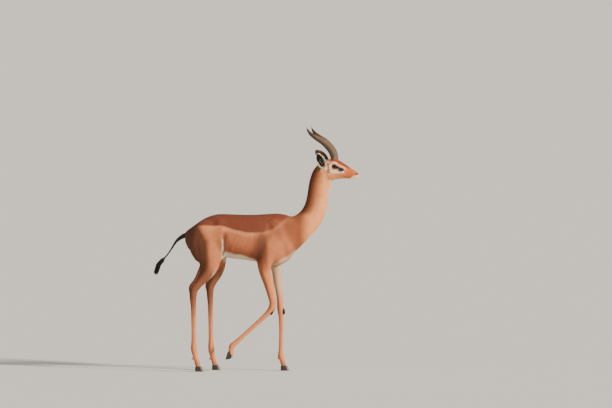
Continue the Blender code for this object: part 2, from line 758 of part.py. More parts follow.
def union_of(name, first, meshes, collection):
    """One closed body from a first mesh and others that overlap it."""
    item = add_object(name, first, collection)
    group = bpy.data.collections.new("union")
    bpy.context.scene.collection.children.link(group)
    for mesh in meshes:
        group.objects.link(bpy.data.objects.new("piece", mesh))
    modifier = item.modifiers.new("union", "BOOLEAN")
    modifier.operation = "UNION"
    modifier.solver = "MANIFOLD"
    modifier.operand_type = "COLLECTION"
    modifier.collection = group
    evaluated(item)
    for piece in list(group.objects):
        discard(piece)
    bpy.data.collections.remove(group)
    keep_largest(item)
    return item


def make_tail(torso):
    """The thin tail and its tuft of black locks."""
    draw = random.Random(SEED)
    route = smooth_rows(TAIL, 60)
    locks = []
    for k in range(TUFT_LOCKS):
        row = route[42 + (k * 14) // TUFT_LOCKS]
        ahead = route[min(42 + (k * 14) // TUFT_LOCKS + 3, 59)]
        way = Vector(ahead[:3] - row[:3]).normalized()
        turn = 2.4 * k
        out = Vector((math.cos(turn) * 0.5, math.sin(turn), math.cos(turn) * 0.25))
        start = Vector(row[:3]) + out * 0.0012
        length = TUFT_LENGTH * draw.uniform(0.75, 1.05)
        way = way + out * draw.uniform(0.20, 0.38)
        bend = Vector((-0.004, 0, -0.008)) + out * draw.uniform(-0.014, -0.006)
        locks.append(lock_mesh(start, way, out, length, LOCK_WIDTH, bend))
    tail = union_of("tail", tube(TAIL, 22, 8), locks, MODEL)
    clear_of(tail, torso)
    return tail


def make_brush(name, leg):
    """Short dark locks that fan down from the front of the knee."""
    draw = random.Random(SEED)
    middle, facing, hang = (Vector(v) for v in BRUSHES[name])
    facing.normalize()
    side = Vector((0, 1, 0))
    core = ellipsoid(middle, BRUSH_CORE, sides=12)
    locks = []
    for k in range(BRUSH_LOCKS):
        spread = (k - (BRUSH_LOCKS - 1) / 2) / (BRUSH_LOCKS - 1) * 2
        level = 0.006 * (1 - k % 2 * 2)
        start = middle + side * spread * 0.009 - hang.normalized() * level - facing * abs(spread) * 0.004
        way = hang.normalized() + facing * 0.42 * (1 - abs(spread) * 0.5) + side * spread * 0.30
        length = BRUSH_LENGTH * draw.uniform(0.80, 1.10)
        locks.append(lock_mesh(start, way, facing + side * spread, length, LOCK_WIDTH, -facing * 0.006))
    brush = union_of(name, core, locks, MODEL)
    clear_of(brush, leg)
    return brush


def claw_mesh(swell=0.0):
    """One half of a cloven hoof, its toe along +X and its sole on the plane z = 0."""
    levels = [(0, 0.94, 0.0), (0.003, 1.0, 0.0), (0.75 * CLAW_HEIGHT, 0.78, -0.7 * CORONET_BACK),
              (CLAW_HEIGHT, 0.58, -CORONET_BACK)]
    rings = []
    for level, scale, shift in levels:
        ring = []
        for k in range(12):
            angle = 2 * math.pi * k / 12
            pointed = 1 - 0.38 * max(0, math.cos(angle)) ** 2
            x = math.cos(angle) * (CLAW_LENGTH / 2 * scale + swell) + shift
            y = math.sin(angle) * (CLAW_WIDTH / 2 * scale * pointed + swell)
            height = level + (swell if level == CLAW_HEIGHT else 0) - (swell if level == 0 else 0)
            ring.append((x, y, height))
        rings.append(ring)
    return loft(rings)


def make_claws(leg_name, leg):
    """Both claws of a foot. The foot is hollowed to seat them."""
    x, y, z, pitch = FEET[leg_name]
    place = Matrix.Translation((x, y, z)) @ Matrix.Rotation(math.radians(pitch), 4, "Y")
    for side, label in ((-1, "a"), (1, "b")):
        offset = Matrix.Translation((0, side * CLAW_SPREAD, 0))
        claw = claw_mesh()
        claw.transform(place @ offset)
        item = add_object(f"hoof_{leg_name}_{label}", claw, MODEL)
        triangulated(item)
        seat = claw_mesh(GAP)
        seat.transform(place @ offset)
        boolean(leg, add_tool("seat", seat), "DIFFERENCE")
        finish(item, "hoof")
    keep_largest(leg)


def part_body(skin):
    """Cuts the skin into its pieces, and names each by the point that it holds."""
    for point, normal, across, along in CUTS:
        boolean(skin, blade(point, normal, across, along), "DIFFERENCE")
    triangulated(skin)
    pieces = {}
    for faces in shells(skin.data):
        mesh = kept_faces(skin.data, faces)
        for name, point in INSIDES.items():
            if name not in pieces and holds(mesh, Vector(point)):
                pieces[name] = add_object(name, mesh, MODEL)
                break
        else:
            bpy.data.meshes.remove(mesh)
    discard(skin)
    return pieces


def holds(mesh, point):
    """Whether a closed mesh holds a point, by how often a ray from the point meets it."""
    tree = BVHTree.FromPolygons([v.co for v in mesh.vertices], [p.vertices[:] for p in mesh.polygons])
    ray = Vector((0, 0.03, 1)).normalized()
    crossings = 0
    start = point
    while True:
        place, _, _, _ = tree.ray_cast(start, ray)
        if place is None:
            return crossings % 2 == 1
        crossings += 1
        start = place + ray * RAY_STEP


def make_material(name):
    colour, roughness = MATERIALS[name]
    material = bpy.data.materials.new(name)
    material.use_nodes = True
    shader = material.node_tree.nodes["Principled BSDF"]
    shader.inputs["Base Color"].default_value = (*colour, 1)
    shader.inputs["Roughness"].default_value = roughness
    material.diffuse_color = (*colour, 1)
    return material


def finish(item, material):
    item.data.materials.clear()
    item.data.materials.append(FINISHES[material])
    item.data.shade_smooth()
    item.data.set_sharp_from_angle(angle=math.radians(50))


def make_head(neck_cut):
    """The head with its eyes, horns and ears."""
    head = head_skin()
    point, normal, _, _ = neck_cut
    normal = Vector(normal).normalized()
    shape = bmesh.new()
    bmesh.ops.create_cube(shape, size=1)
    frame = normal.to_track_quat("Z", "Y").to_matrix().to_4x4()
    centre = Vector(point) - normal * (0.5 - GAP / 2)
    bmesh.ops.transform(shape, matrix=Matrix.Translation(centre) @ frame, verts=shape.verts)
    boolean(head, add_tool("neck_side", to_mesh(shape)), "DIFFERENCE")
    keep_largest(head)
    for side, name in ((-1, "right"), (1, "left")):
        centre = Vector((EYE_CENTRE.x, side * EYE_CENTRE.y, EYE_CENTRE.z))
        eye = turn_head(ellipsoid(centre, (EYE_RADIUS,) * 3, sides=16))
        item = add_object(f"eye_{name}", eye, MODEL)
        triangulated(item)
        clear_of(head, item)
        finish(item, "eye")
    cut_mouth_and_nostrils(head)
    for side, name in ((-1, "right"), (1, "left")):
        horn = add_object(f"horn_{name}", horn_mesh(side), MODEL)
        triangulated(horn)
        clear_of(horn, head)
        finish(horn, "horn")
    for name, (root, way, facing) in EARS.items():
        ear = add_object(name, ear_mesh(root, way, facing), MODEL)
        triangulated(ear)
        clear_of(ear, head)
        finish(ear, "ear_skin")
    MODEL.objects.link(head)
    TOOLS.objects.unlink(head)
    head.hide_render = False
    head.display_type = "TEXTURED"
    finish(head, "coat_head")
    return head


clear_scene()
MODEL = new_collection("gerenuk")
TOOLS = new_collection("tools")
FINISHES = {name: make_material(name) for name in MATERIALS}

pieces = part_body(body_skin())
for leg_name in LEGS:
    make_claws(leg_name, pieces[f"{leg_name}_lower"])
make_head(CUTS[1])
tail = make_tail(pieces["torso"])
finish(tail, "tail_hair")
for brush_name in BRUSHES:
    side_name = brush_name.split("_")[-1]
    brush = make_brush(brush_name, pieces[f"foreleg_{side_name}_lower"])
    clear_of(brush, pieces[f"foreleg_{side_name}_upper"])
    finish(brush, "knee_hair")
for name, piece in pieces.items():
    coat = {"torso": "coat_body", "neck": "coat_neck"}.get(name, "coat_leg")
    finish(piece, coat)
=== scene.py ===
"""The looks of a male gerenuk, life size, walking with its right forefoot lifted.

One skin is made from the same tubes and muscles as the solids, carved finer and marked by
functions of place. Tufts of coat, horns, hooves, eyes, ears, brushes and tail are laid on it.
"""
import math
import random

import bmesh
import bpy
import numpy as np
from mathutils import Matrix, Vector
from mathutils.bvhtree import BVHTree


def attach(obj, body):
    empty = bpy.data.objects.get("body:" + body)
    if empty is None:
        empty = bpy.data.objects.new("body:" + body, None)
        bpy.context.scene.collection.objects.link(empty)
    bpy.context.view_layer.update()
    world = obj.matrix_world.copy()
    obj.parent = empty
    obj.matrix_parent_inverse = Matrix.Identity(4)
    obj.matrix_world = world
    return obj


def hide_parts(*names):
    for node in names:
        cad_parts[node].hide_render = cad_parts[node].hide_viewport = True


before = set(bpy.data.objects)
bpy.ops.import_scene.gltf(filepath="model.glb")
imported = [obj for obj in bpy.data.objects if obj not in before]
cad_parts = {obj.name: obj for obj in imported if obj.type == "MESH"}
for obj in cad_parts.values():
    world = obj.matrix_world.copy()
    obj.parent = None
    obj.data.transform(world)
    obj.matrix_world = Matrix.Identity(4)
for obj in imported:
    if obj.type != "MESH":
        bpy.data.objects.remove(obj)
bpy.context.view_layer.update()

# Camera and light
PIXEL = 0.00635
FRAME_WIDTH = 612 * PIXEL
CAMERA_TARGET = Vector((0.311, 0, 1.060))
CAMERA_DISTANCE = 44.0
CAMERA_LIFT = math.radians(1.75)
SENSOR = 36.0
FLOOR_RADIUS = 9000

# Sun lamps: energy, angular size in degrees, the way their light goes, and colour
LAMPS = {
    "key": (6.0, 6, (-0.76, 0.48, -0.43), (1.0, 0.92, 0.80)),
    "fill": (0.5, 40, (0.5, 0.8, -0.35), (0.95, 0.97, 1.0)),
}
SKY_COLOUR = (1.0, 0.98, 0.96, 1)
SKY_STRENGTH = 0.45
FLOOR_COLOUR = (0.74, 0.72, 0.68, 1)

# Sizes of skin, eyes, ears and claws, the head's turn, and the heights of softening
SKIN_VOXEL = 0.0028
COAT_DEPTH = 0.0012
SOFT_FROM = (0.57, 0.69)
SOFT_TO = (1.15, 1.20)
SOFT_LEVELS = 20
HEAD_YAW = math.radians(-12)
HEAD_PIVOT = Vector((0.43, 0, 1.25))
EYE_RADIUS = 0.0155
EYE_CENTRE = np.array((0.501, 0.0380, 1.2965))
EYE_AXIS = np.array((0.30, 1.0, 0.12))
LID_OVER = 0.0014
EYE_LONG = 0.0138
EYE_HIGH_UP = 0.0098
EYE_HIGH_DOWN = 0.0088
EAR_LENGTH = 0.146
EAR_BOW = 0.012
EAR_THINNING = 0.55
CLAW_LENGTH = 0.054
CLAW_WIDTH = 0.0185
CLAW_HEIGHT = 0.034
CLAW_SPREAD = 0.0105
CORONET_BACK = 0.007

# Random draws, and the unwrap that tufts take their places from
SEED = 7
UV_PATCH = 0.0015
UNWRAP_RATIO = 0.02

# How many tufts grow on ears, lids, tail and brushes
RIM_HAIRS = 1100
CUP_HAIRS = 60
DARK_EAR_HAIRS = 260
LASHES = 46
SHORT_TAIL_HAIRS = 2600
LONG_TAIL_HAIRS = 2600
BRUSH_HAIRS = 900

# Torso sections: x, back line, belly line, half width, widening towards the top
TORSO = [
    (-0.458, 0.882, 0.818, 0.020, 0.00),
    (-0.438, 0.898, 0.776, 0.046, -0.05),
    (-0.395, 0.929, 0.750, 0.070, -0.12),
    (-0.330, 0.972, 0.735, 0.086, -0.18),
    (-0.257, 0.996, 0.728, 0.094, -0.20),
    (-0.178, 0.997, 0.716, 0.100, -0.22),
    (-0.095, 0.994, 0.706, 0.107, -0.22),
    (-0.014, 0.994, 0.694, 0.108, -0.25),
    (0.060, 0.998, 0.681, 0.099, -0.34),
    (0.125, 1.002, 0.670, 0.084, -0.42),
    (0.165, 0.998, 0.678, 0.072, -0.40),
    (0.205, 0.986, 0.706, 0.060, -0.30),
    (0.238, 0.955, 0.752, 0.046, -0.20),
]
# Neck sections: back line x, z, then throat line x, z, then half width
NECK = [
    (0.120, 0.994, 0.190, 0.720, 0.064),
    (0.183, 0.992, 0.238, 0.762, 0.064),
    (0.241, 0.992, 0.312, 0.832, 0.061),
    (0.281, 1.021, 0.385, 0.908, 0.056),
    (0.303, 1.061, 0.432, 0.990, 0.053),
    (0.316, 1.112, 0.450, 1.085, 0.050),
    (0.324, 1.166, 0.464, 1.150, 0.050),
    (0.336, 1.220, 0.477, 1.196, 0.050),
    (0.357, 1.276, 0.487, 1.226, 0.049),
    (0.385, 1.312, 0.490, 1.262, 0.044),
]
# Leg sections from the top down: x, y, z, half thickness along the stride, half width
LEGS = {
    "foreleg_right": [
        (0.085, -0.066, 0.780, 0.060, 0.034),
        (0.050, -0.074, 0.705, 0.054, 0.036),
        (0.048, -0.074, 0.653, 0.042, 0.032),
        (0.073, -0.071, 0.562, 0.033, 0.026),
        (0.092, -0.068, 0.480, 0.026, 0.021),
        (0.101, -0.066, 0.432, 0.0235, 0.021),
        (0.094, -0.064, 0.399, 0.0240, 0.0225),
        (0.071, -0.063, 0.371, 0.0190, 0.0195),
        (0.035, -0.062, 0.336, 0.0165, 0.0160),
        (-0.030, -0.060, 0.277, 0.0150, 0.0142),
        (-0.100, -0.059, 0.213, 0.0150, 0.0142),
        (-0.138, -0.058, 0.178, 0.0175, 0.0165),
        (-0.159, -0.058, 0.157, 0.0205, 0.0195),
        (-0.165, -0.058, 0.128, 0.0160, 0.0170),
        (-0.164, -0.058, 0.104, 0.0175, 0.0190),
        (-0.166, -0.058, 0.090, 0.0150, 0.0160),
    ],
    "foreleg_left": [
        (0.100, 0.066, 0.780, 0.060, 0.034),
        (0.112, 0.068, 0.705, 0.052, 0.035),
        (0.124, 0.062, 0.645, 0.037, 0.030),
        (0.131, 0.054, 0.562, 0.0275, 0.0245),
        (0.141, 0.046, 0.488, 0.0220, 0.0205),
        (0.147, 0.040, 0.430, 0.0215, 0.0205),
        (0.149, 0.036, 0.394, 0.0230, 0.0225),
        (0.152, 0.033, 0.352, 0.0185, 0.0185),
        (0.153, 0.030, 0.300, 0.0158, 0.0152),
        (0.153, 0.025, 0.200, 0.0148, 0.0142),
        (0.152, 0.021, 0.130, 0.0158, 0.0152),
        (0.152, 0.019, 0.092, 0.0205, 0.0195),
        (0.160, 0.018, 0.062, 0.0160, 0.0170),
        (0.168, 0.018, 0.038, 0.0175, 0.0190),
        (0.170, 0.018, 0.024, 0.0150, 0.0160),
    ],
    "hindleg_right": [
        (-0.330, -0.052, 0.880, 0.085, 0.040),
        (-0.328, -0.060, 0.805, 0.106, 0.046),
        (-0.314, -0.066, 0.748, 0.094, 0.046),
        (-0.300, -0.070, 0.702, 0.073, 0.044),
        (-0.303, -0.074, 0.660, 0.058, 0.039),
        (-0.318, -0.078, 0.622, 0.044, 0.032),
        (-0.345, -0.082, 0.585, 0.033, 0.025),
        (-0.374, -0.086, 0.552, 0.0270, 0.0215),
        (-0.400, -0.089, 0.516, 0.0270, 0.0215),
        (-0.405, -0.091, 0.470, 0.0230, 0.0195),
        (-0.403, -0.093, 0.420, 0.0190, 0.0168),
        (-0.401, -0.096, 0.320, 0.0168, 0.0150),
        (-0.400, -0.099, 0.200, 0.0168, 0.0150),
        (-0.398, -0.100, 0.135, 0.0210, 0.0195),
        (-0.390, -0.100, 0.095, 0.0165, 0.0168),
        (-0.381, -0.100, 0.062, 0.0165, 0.0175),
        (-0.374, -0.100, 0.038, 0.0175, 0.0190),
        (-0.372, -0.100, 0.024, 0.0150, 0.0160),
    ],
    "hindleg_left": [
        (-0.310, 0.052, 0.880, 0.085, 0.040),
        (-0.295, 0.060, 0.805, 0.100, 0.046),
        (-0.275, 0.064, 0.745, 0.090, 0.046),
        (-0.256, 0.068, 0.695, 0.066, 0.041),
        (-0.249, 0.071, 0.652, 0.046, 0.034),
        (-0.259, 0.074, 0.606, 0.033, 0.026),
        (-0.279, 0.077, 0.568, 0.0265, 0.0215),
        (-0.297, 0.080, 0.532, 0.0265, 0.0215),
        (-0.300, 0.082, 0.485, 0.0225, 0.0190),
        (-0.298, 0.084, 0.425, 0.0185, 0.0165),
        (-0.296, 0.087, 0.320, 0.0165, 0.0148),
        (-0.294, 0.090, 0.200, 0.0165, 0.0148),
        (-0.291, 0.092, 0.122, 0.0205, 0.0190),
        (-0.283, 0.092, 0.085, 0.0162, 0.0168),
        (-0.275, 0.092, 0.055, 0.0165, 0.0175),
        (-0.269, 0.092, 0.036, 0.0175, 0.0190),
        (-0.267, 0.092, 0.024, 0.0150, 0.0160),
    ],
}
# The tendon behind each hind leg, from the gaskin to the point of the hock
TENDONS = [
    [(-0.350, -0.078, 0.672, 0.0150, 0.012), (-0.394, -0.085, 0.580, 0.0095, 0.009),
     (-0.420, -0.088, 0.531, 0.0140, 0.013), (-0.418, -0.090, 0.498, 0.0120, 0.012)],
    [(-0.283, 0.073, 0.655, 0.0150, 0.012), (-0.301, 0.077, 0.585, 0.0095, 0.009),
     (-0.318, 0.080, 0.541, 0.0140, 0.013), (-0.314, 0.082, 0.510, 0.0120, 0.012)],
]
# Muscles and bones on each side: x, y, z, radii along x, y, z, and lean about y in degrees
MUSCLES = [
    (0.125, 0.056, 0.870, 0.052, 0.026, 0.110, -22),
    (0.185, 0.046, 0.775, 0.040, 0.028, 0.045, 0),
    (0.070, 0.066, 0.762, 0.068, 0.030, 0.062, 30),
    (-0.235, 0.060, 0.938, 0.034, 0.020, 0.024, 0),
    (-0.318, 0.050, 0.865, 0.098, 0.038, 0.095, 0),
    (-0.230, 0.060, 0.760, 0.040, 0.022, 0.060, 20),
]
# Soles of the feet: x, y, z and pitch in degrees
FEET = {
    "foreleg_right": (-0.193, -0.058, 0.101, 107),
    "foreleg_left": (0.177, 0.018, 0, 0),
    "hindleg_right": (-0.365, -0.100, 0, 0),
    "hindleg_left": (-0.260, 0.092, 0, 0),
}
# Head sections before it turns: x, top, bottom, half width, widening towards the top
HEAD = [
    (0.392, 1.306, 1.238, 0.030, 0.00),
    (0.408, 1.326, 1.216, 0.041, 0.05),
    (0.430, 1.341, 1.206, 0.047, 0.10),
    (0.458, 1.346, 1.206, 0.050, 0.14),
    (0.486, 1.346, 1.211, 0.049, 0.18),
    (0.512, 1.342, 1.216, 0.043, 0.16),
    (0.540, 1.330, 1.2195, 0.034, 0.08),
    (0.570, 1.3105, 1.2215, 0.0275, 0.00),
    (0.600, 1.2905, 1.2220, 0.0235, -0.04),
    (0.622, 1.2765, 1.2190, 0.0220, -0.02),
    (0.638, 1.2665, 1.2180, 0.0195, 0.00),
    (0.6485, 1.2570, 1.2230, 0.0135, 0.00),
]
# Bony forms of the head on each side: x, y, z, radii, lean
HEAD_FORMS = [
    (0.494, 0.034, 1.322, 0.028, 0.0165, 0.012, 12),
    (0.462, 0.033, 1.312, 0.034, 0.0150, 0.020, 0),
    (0.512, 0.028, 1.268, 0.052, 0.0145, 0.016, 10),
    (0.462, 0.032, 1.246, 0.038, 0.0150, 0.030, 10),
    (0.637, 0.010, 1.2525, 0.012, 0.010, 0.0105, 30),
]
# Lips: x and distance from the middle plane, then level and half thickness of upper and lower lip
LIPS = [(0.578, 0.0110), (0.596, 0.0165), (0.612, 0.0180), (0.628, 0.0160), (0.638, 0.0090), (0.6405, 0)]
LIP_LEVELS = [(1.2380, 0.0058), (1.2250, 0.0050)]
MOUTH_LEVEL = 1.2315
# Horn: x, z and distance from the middle plane before the head turns, then half thickness
HORN = [
    (0.491, 1.322, 0.0215, 0.0180),
    (0.493, 1.345, 0.0230, 0.0193),
    (0.487, 1.379, 0.0265, 0.0208),
    (0.461, 1.421, 0.0345, 0.0203),
    (0.425, 1.456, 0.0460, 0.0185),
    (0.379, 1.486, 0.0610, 0.0150),
    (0.346, 1.514, 0.0710, 0.0100),
    (0.333, 1.534, 0.0735, 0.0060),
    (0.329, 1.551, 0.0725, 0.0022),
]
HORN_RINGED = 0.76
HORN_NARROW = 0.84
HORN_RINGS = 24
HORN_STEPS = 420
HORN_SIDES = 56
# Each ear: root, direction of its length, and the side that its cup faces
EARS = {
    "ear_right": ((0.437, -0.042, 1.289), (-0.149, -0.788, 0.600), (0.546, -0.548, -0.63)),
    "ear_left": ((0.444, 0.038, 1.324), (-0.648, 0.598, 0.470), (0.413, 0.701, -0.58)),
}
# Ear sections: place along the ear, radius of its curl, half angle of the curl in degrees
EAR = [
    (0.00, 0.0135, 150),
    (0.10, 0.0160, 138),
    (0.22, 0.0215, 116),
    (0.38, 0.0280, 94),
    (0.55, 0.0320, 78),
    (0.72, 0.0310, 60),
    (0.86, 0.0240, 46),
    (0.95, 0.0145, 38),
    (1.00, 0.0060, 32),
]
EAR_THICKNESS = 0.0032
# Tail from its root down: x, y, z and half thickness, twice
TAIL = [
    (-0.425, 0, 0.866, 0.0170, 0.0170),
    (-0.456, 0, 0.861, 0.0150, 0.0150),
    (-0.490, 0, 0.843, 0.0115, 0.0115),
    (-0.513, 0, 0.822, 0.0080, 0.0080),
    (-0.530, 0, 0.797, 0.0058, 0.0058),
    (-0.551, 0, 0.764, 0.0042, 0.0042),
    (-0.570, 0, 0.737, 0.0040, 0.0040),
    (-0.593, 0, 0.712, 0.0043, 0.0043),
    (-0.610, 0, 0.692, 0.0060, 0.0060),
    (-0.622, 0, 0.670, 0.0050, 0.0050),
    (-0.631, 0, 0.648, 0.0025, 0.0025),
]
TAIL_STEPS = 300
TUFT_LENGTH = 0.056
BRUSH_LENGTH = 0.028
# Knee brushes: middle, the way it faces, the way its hair hangs and the height of its roots
BRUSHES = {
    "knee_brush_right": ((0.1065, -0.064, 0.380), (0.80, 0, -0.60), (-0.45, 0, -0.90), -0.004),
    "knee_brush_left": ((0.1665, 0.036, 0.386), (1.0, 0, 0.0), (0.0, 0, -1.0), 0.0045),
}

# Colours, written as they show on a screen
COLOURS = {
    "saddle": (114, 58, 40),
    "flank": (176, 102, 66),
    "pale_line": (206, 138, 94),
    "low_flank": (140, 76, 48),
    "belly": (212, 192, 164),
    "neck": (238, 156, 98),
    # Deep brown, used as painted shade along the nape and the back of the head, and to darken the feet
    "deep_brown_and_shade": (70, 38, 24),
    # Dark brown, also along the top of the back, and used as painted shade behind the elbow and
    # shoulder, in the groin, behind the haunch and down the back of the hind legs
    "dark_brown_and_shade": (88, 50, 34),
    "thigh": (196, 120, 78),
    "leg": (218, 134, 84),
    # Dark tan, used as painted shade on the legs and for a stripe behind the eye
    "dark_tan_and_shade": (112, 64, 44),
    "forehead": (152, 66, 38),
    "muzzle": (214, 112, 56),
    "cheek": (230, 156, 100),
    "eye_ring": (246, 232, 208),
    "dark": (26, 22, 22),
    "gland": (34, 38, 48),
    "lips": (226, 214, 198),
    "ear_back": (84, 52, 36),
    "ear_rim": (246, 236, 216),
    "ear_dark": (22, 16, 14),
    "tail": (26, 22, 20),
    "horn": (50, 40, 32),
    "horn_lit": (132, 104, 74),
    "hoof": (38, 30, 26),
}
# Colours of the eye, as linear light
EYEBALL = (0.010, 0.007, 0.006)
IRIS = (0.022, 0.010, 0.005)
PUPIL = (0.002, 0.002, 0.003)


def linear(name):
    """A named colour as linear light."""
    share = np.array(COLOURS[name]) / 255
    return np.where(share <= 0.04045, share / 12.92, ((share + 0.055) / 1.055) ** 2.4)


def smooth_step(value, low, high):
    """Rises smoothly from 0 at the low value to 1 at the high one."""
    t = np.clip((value - low) / (high - low), 0, 1)
    return t * t * (3 - 2 * t)


def smooth_rows(rows, count):
    """Rows of numbers read from a smooth curve through the given ones, evenly along its length."""
    rows = np.array(rows, float)
    steps = np.linalg.norm(np.diff(rows[:, :3], axis=0), axis=1)
    along = np.concatenate([[0], np.cumsum(steps)])
    slopes = np.gradient(rows, along, axis=0)
    wanted = np.linspace(0, along[-1], count)
    place = np.clip(np.searchsorted(along, wanted, side="right") - 1, 0, len(rows) - 2)
    span = (along[place + 1] - along[place])[:, None]
    t = (wanted - along[place])[:, None] / span
    start, end = rows[place], rows[place + 1]
    rise, fall = slopes[place] * span, slopes[place + 1] * span
    return ((2 * t**3 - 3 * t**2 + 1) * start + (t**3 - 2 * t**2 + t) * rise
            + (3 * t**2 - 2 * t**3) * end + (t**3 - t**2) * fall)


def to_mesh(shape):
    bmesh.ops.recalc_face_normals(shape, faces=shape.faces)
    mesh = bpy.data.meshes.new("shape")
    shape.to_mesh(mesh)
    shape.free()
    return mesh


def loft(rings):
    """A closed mesh through rings of equally many points, with a flat cap at each end."""
    shape = bmesh.new()
    rows = [[shape.verts.new(point) for point in ring] for ring in rings]
    for low, high in zip(rows, rows[1:]):
        for i in range(len(low)):
            j = (i + 1) % len(low)
            shape.faces.new((low[i], low[j], high[j], high[i]))
    shape.faces.new(rows[0])
    shape.faces.new(rows[-1])
    return to_mesh(shape)


def tube(rows, count, sides, square=2.0, upright=False):
    """A tube along x, y, z centres, its sections upright or across it. Its sides keep near Y."""
    rows = smooth_rows(rows, count)
    centres = rows[:, :3]
    ways = np.gradient(centres, axis=0)
    rings = []
    for centre, way, row in zip(centres, ways, rows):
        way = way / np.linalg.norm(way)
        side = np.array([0.0, 1.0, 0.0]) - way * way[1]
        side /= np.linalg.norm(side)
        up = np.array([0.0, 0.0, 1.0]) if upright else np.cross(way, side)
        lean = row[5] if len(row) > 5 else 0.0
        ring = []
        for k in range(sides):
            angle = 2 * math.pi * k / sides
            across = math.copysign(abs(math.cos(angle)) ** (2 / square), math.cos(angle))
            along = math.copysign(abs(math.sin(angle)) ** (2 / square), math.sin(angle))
            wide = row[4] * across * (1 + lean * along)
            ring.append(centre + side * wide + up * row[3] * along)
        rings.append(ring)
    return loft(rings)


def curve_tube(rows, count, sides):
    """A round tube along any route, with a frame that turns as little as it can."""
    rows = smooth_rows(rows, count)
    centres = rows[:, :3]
    ways = np.gradient(centres, axis=0)
    ways /= np.linalg.norm(ways, axis=1)[:, None]
    side = np.cross(ways[0], [0.13, 0.21, 0.97])
    rings = []
    for centre, way, row in zip(centres, ways, rows):
        side = side - way * np.dot(side, way)
        side /= np.linalg.norm(side)
        up = np.cross(way, side)
        angles = [2 * math.pi * k / sides for k in range(sides)]
        rings.append([centre + (side * math.cos(a) + up * math.sin(a)) * row[3] for a in angles])
    return loft(rings)


def upright_rows(table):
    """Rows for a tube from x, top, bottom, half width and an optional widening to the top."""
    rows = []
    for x, top, bottom, width, *lean in table:
        rows.append((x, 0, (top + bottom) / 2, (top - bottom) / 2, width, *lean))
    return rows


def neck_rows():
    """Rows for a tube between the neck's back line and throat line."""
    rows = []
    for back_x, back_z, throat_x, throat_z, width in NECK:
        depth = math.hypot(throat_x - back_x, throat_z - back_z) / 2
        rows.append(((back_x + throat_x) / 2, 0, (back_z + throat_z) / 2, depth, width))
    return rows


def ellipsoid(centre, radii, lean=0.0):
    shape = bmesh.new()
    bmesh.ops.create_uvsphere(shape, u_segments=20, v_segments=10, radius=1)
    place = Matrix.Translation(centre) @ Matrix.Rotation(lean, 4, "Y") @ Matrix.Diagonal((*radii, 1))
    bmesh.ops.transform(shape, matrix=place, verts=shape.verts)
    return to_mesh(shape)


def mirrored_forms(table):
    """Ellipsoids on both sides of the middle plane."""
    meshes = []
    for x, y, z, rx, ry, rz, lean in table:
        for side in (-1, 1):
            meshes.append(ellipsoid((x, side * y, z), (rx, ry, rz), math.radians(lean)))
    return meshes


HEAD_TURN = (Matrix.Translation(HEAD_PIVOT) @ Matrix.Rotation(HEAD_YAW, 4, "Z")
             @ Matrix.Translation(-HEAD_PIVOT))


def turn_head(mesh):
    mesh.transform(HEAD_TURN)
    return mesh


def unturned(points):
    """Places on the head as they are before it turns."""
    back = np.array(HEAD_TURN.inverted())
    return points @ back[:3, :3].T + back[:3, 3]


def turned_ways(ways):
    return ways @ np.array(HEAD_TURN)[:3, :3].T


def turned(points):
    return turned_ways(points) + np.array(HEAD_TURN)[:3, 3]


def link(name, data):
    """Adds an object to the scene."""
    item = bpy.data.objects.new(name, data)
    bpy.context.scene.collection.objects.link(item)
    return item


def evaluated(item):
    """Replaces an object's mesh by what its modifiers make of it."""
    depsgraph = bpy.context.evaluated_depsgraph_get()
    mesh = bpy.data.meshes.new_from_object(item.evaluated_get(depsgraph))
    old = item.data
    item.modifiers.clear()
    item.data = mesh
    bpy.data.meshes.remove(old)


def joined(meshes):
    """Several meshes as one, their parts still overlapping."""
    shape = bmesh.new()
    for mesh in meshes:
        shape.from_mesh(mesh)
        bpy.data.meshes.remove(mesh)
    mesh = bpy.data.meshes.new("shape")
    shape.to_mesh(mesh)
    shape.free()
    return mesh


def soften(item, rounds, weights):
    """Rounds off an object, each point by its own weight from 0 to 1."""
    group = item.vertex_groups.new(name="soft")
    levels = np.round(weights * SOFT_LEVELS).astype(int)
    for level in range(1, SOFT_LEVELS + 1):
        group.add(np.nonzero(levels == level)[0].tolist(), level / SOFT_LEVELS, "REPLACE")
    smooth = item.modifiers.new("soften", "SMOOTH")
    smooth.factor = 0.5
    smooth.iterations = rounds
    smooth.vertex_group = "soft"
    evaluated(item)
    item.vertex_groups.clear()


def points_of(mesh):
    flat = np.empty(len(mesh.vertices) * 3)
    mesh.vertices.foreach_get("co", flat)
    return flat.reshape(-1, 3)


def normals_of(mesh):
    flat = np.empty(len(mesh.vertices) * 3, dtype=np.float32)
    mesh.vertex_normals.foreach_get("vector", flat)
    return flat.reshape(-1, 3).astype(float)


def set_points(mesh, points):
    mesh.vertices.foreach_set("co", points.ravel())
    mesh.update()


def distance_to_path(points, path):
    """How far each point is from a path of straight stretches."""
    path = np.array(path, float)
    nearest = np.full(len(points), np.inf)
    for start, end in zip(path, path[1:]):
        run = end - start
        share = np.clip((points - start) @ run / (run @ run), 0, 1)
        nearest = np.minimum(nearest, np.linalg.norm(points - start - share[:, None] * run, axis=1))
    return nearest


def bump_along(points, path, radius, height):
    """How much a brush stroke along a path raises each point."""
    near = np.clip(distance_to_path(points, path) / radius, 0, 1)
    return height * (1 - near**2) ** 2


def spot(points, path, radius, softness=0.35):
    """How strongly a patch of colour along a path covers each point, from 0 to 1."""
    away = distance_to_path(points, path)
    return 1 - smooth_step(away, radius * (1 - softness), radius * (1 + softness))


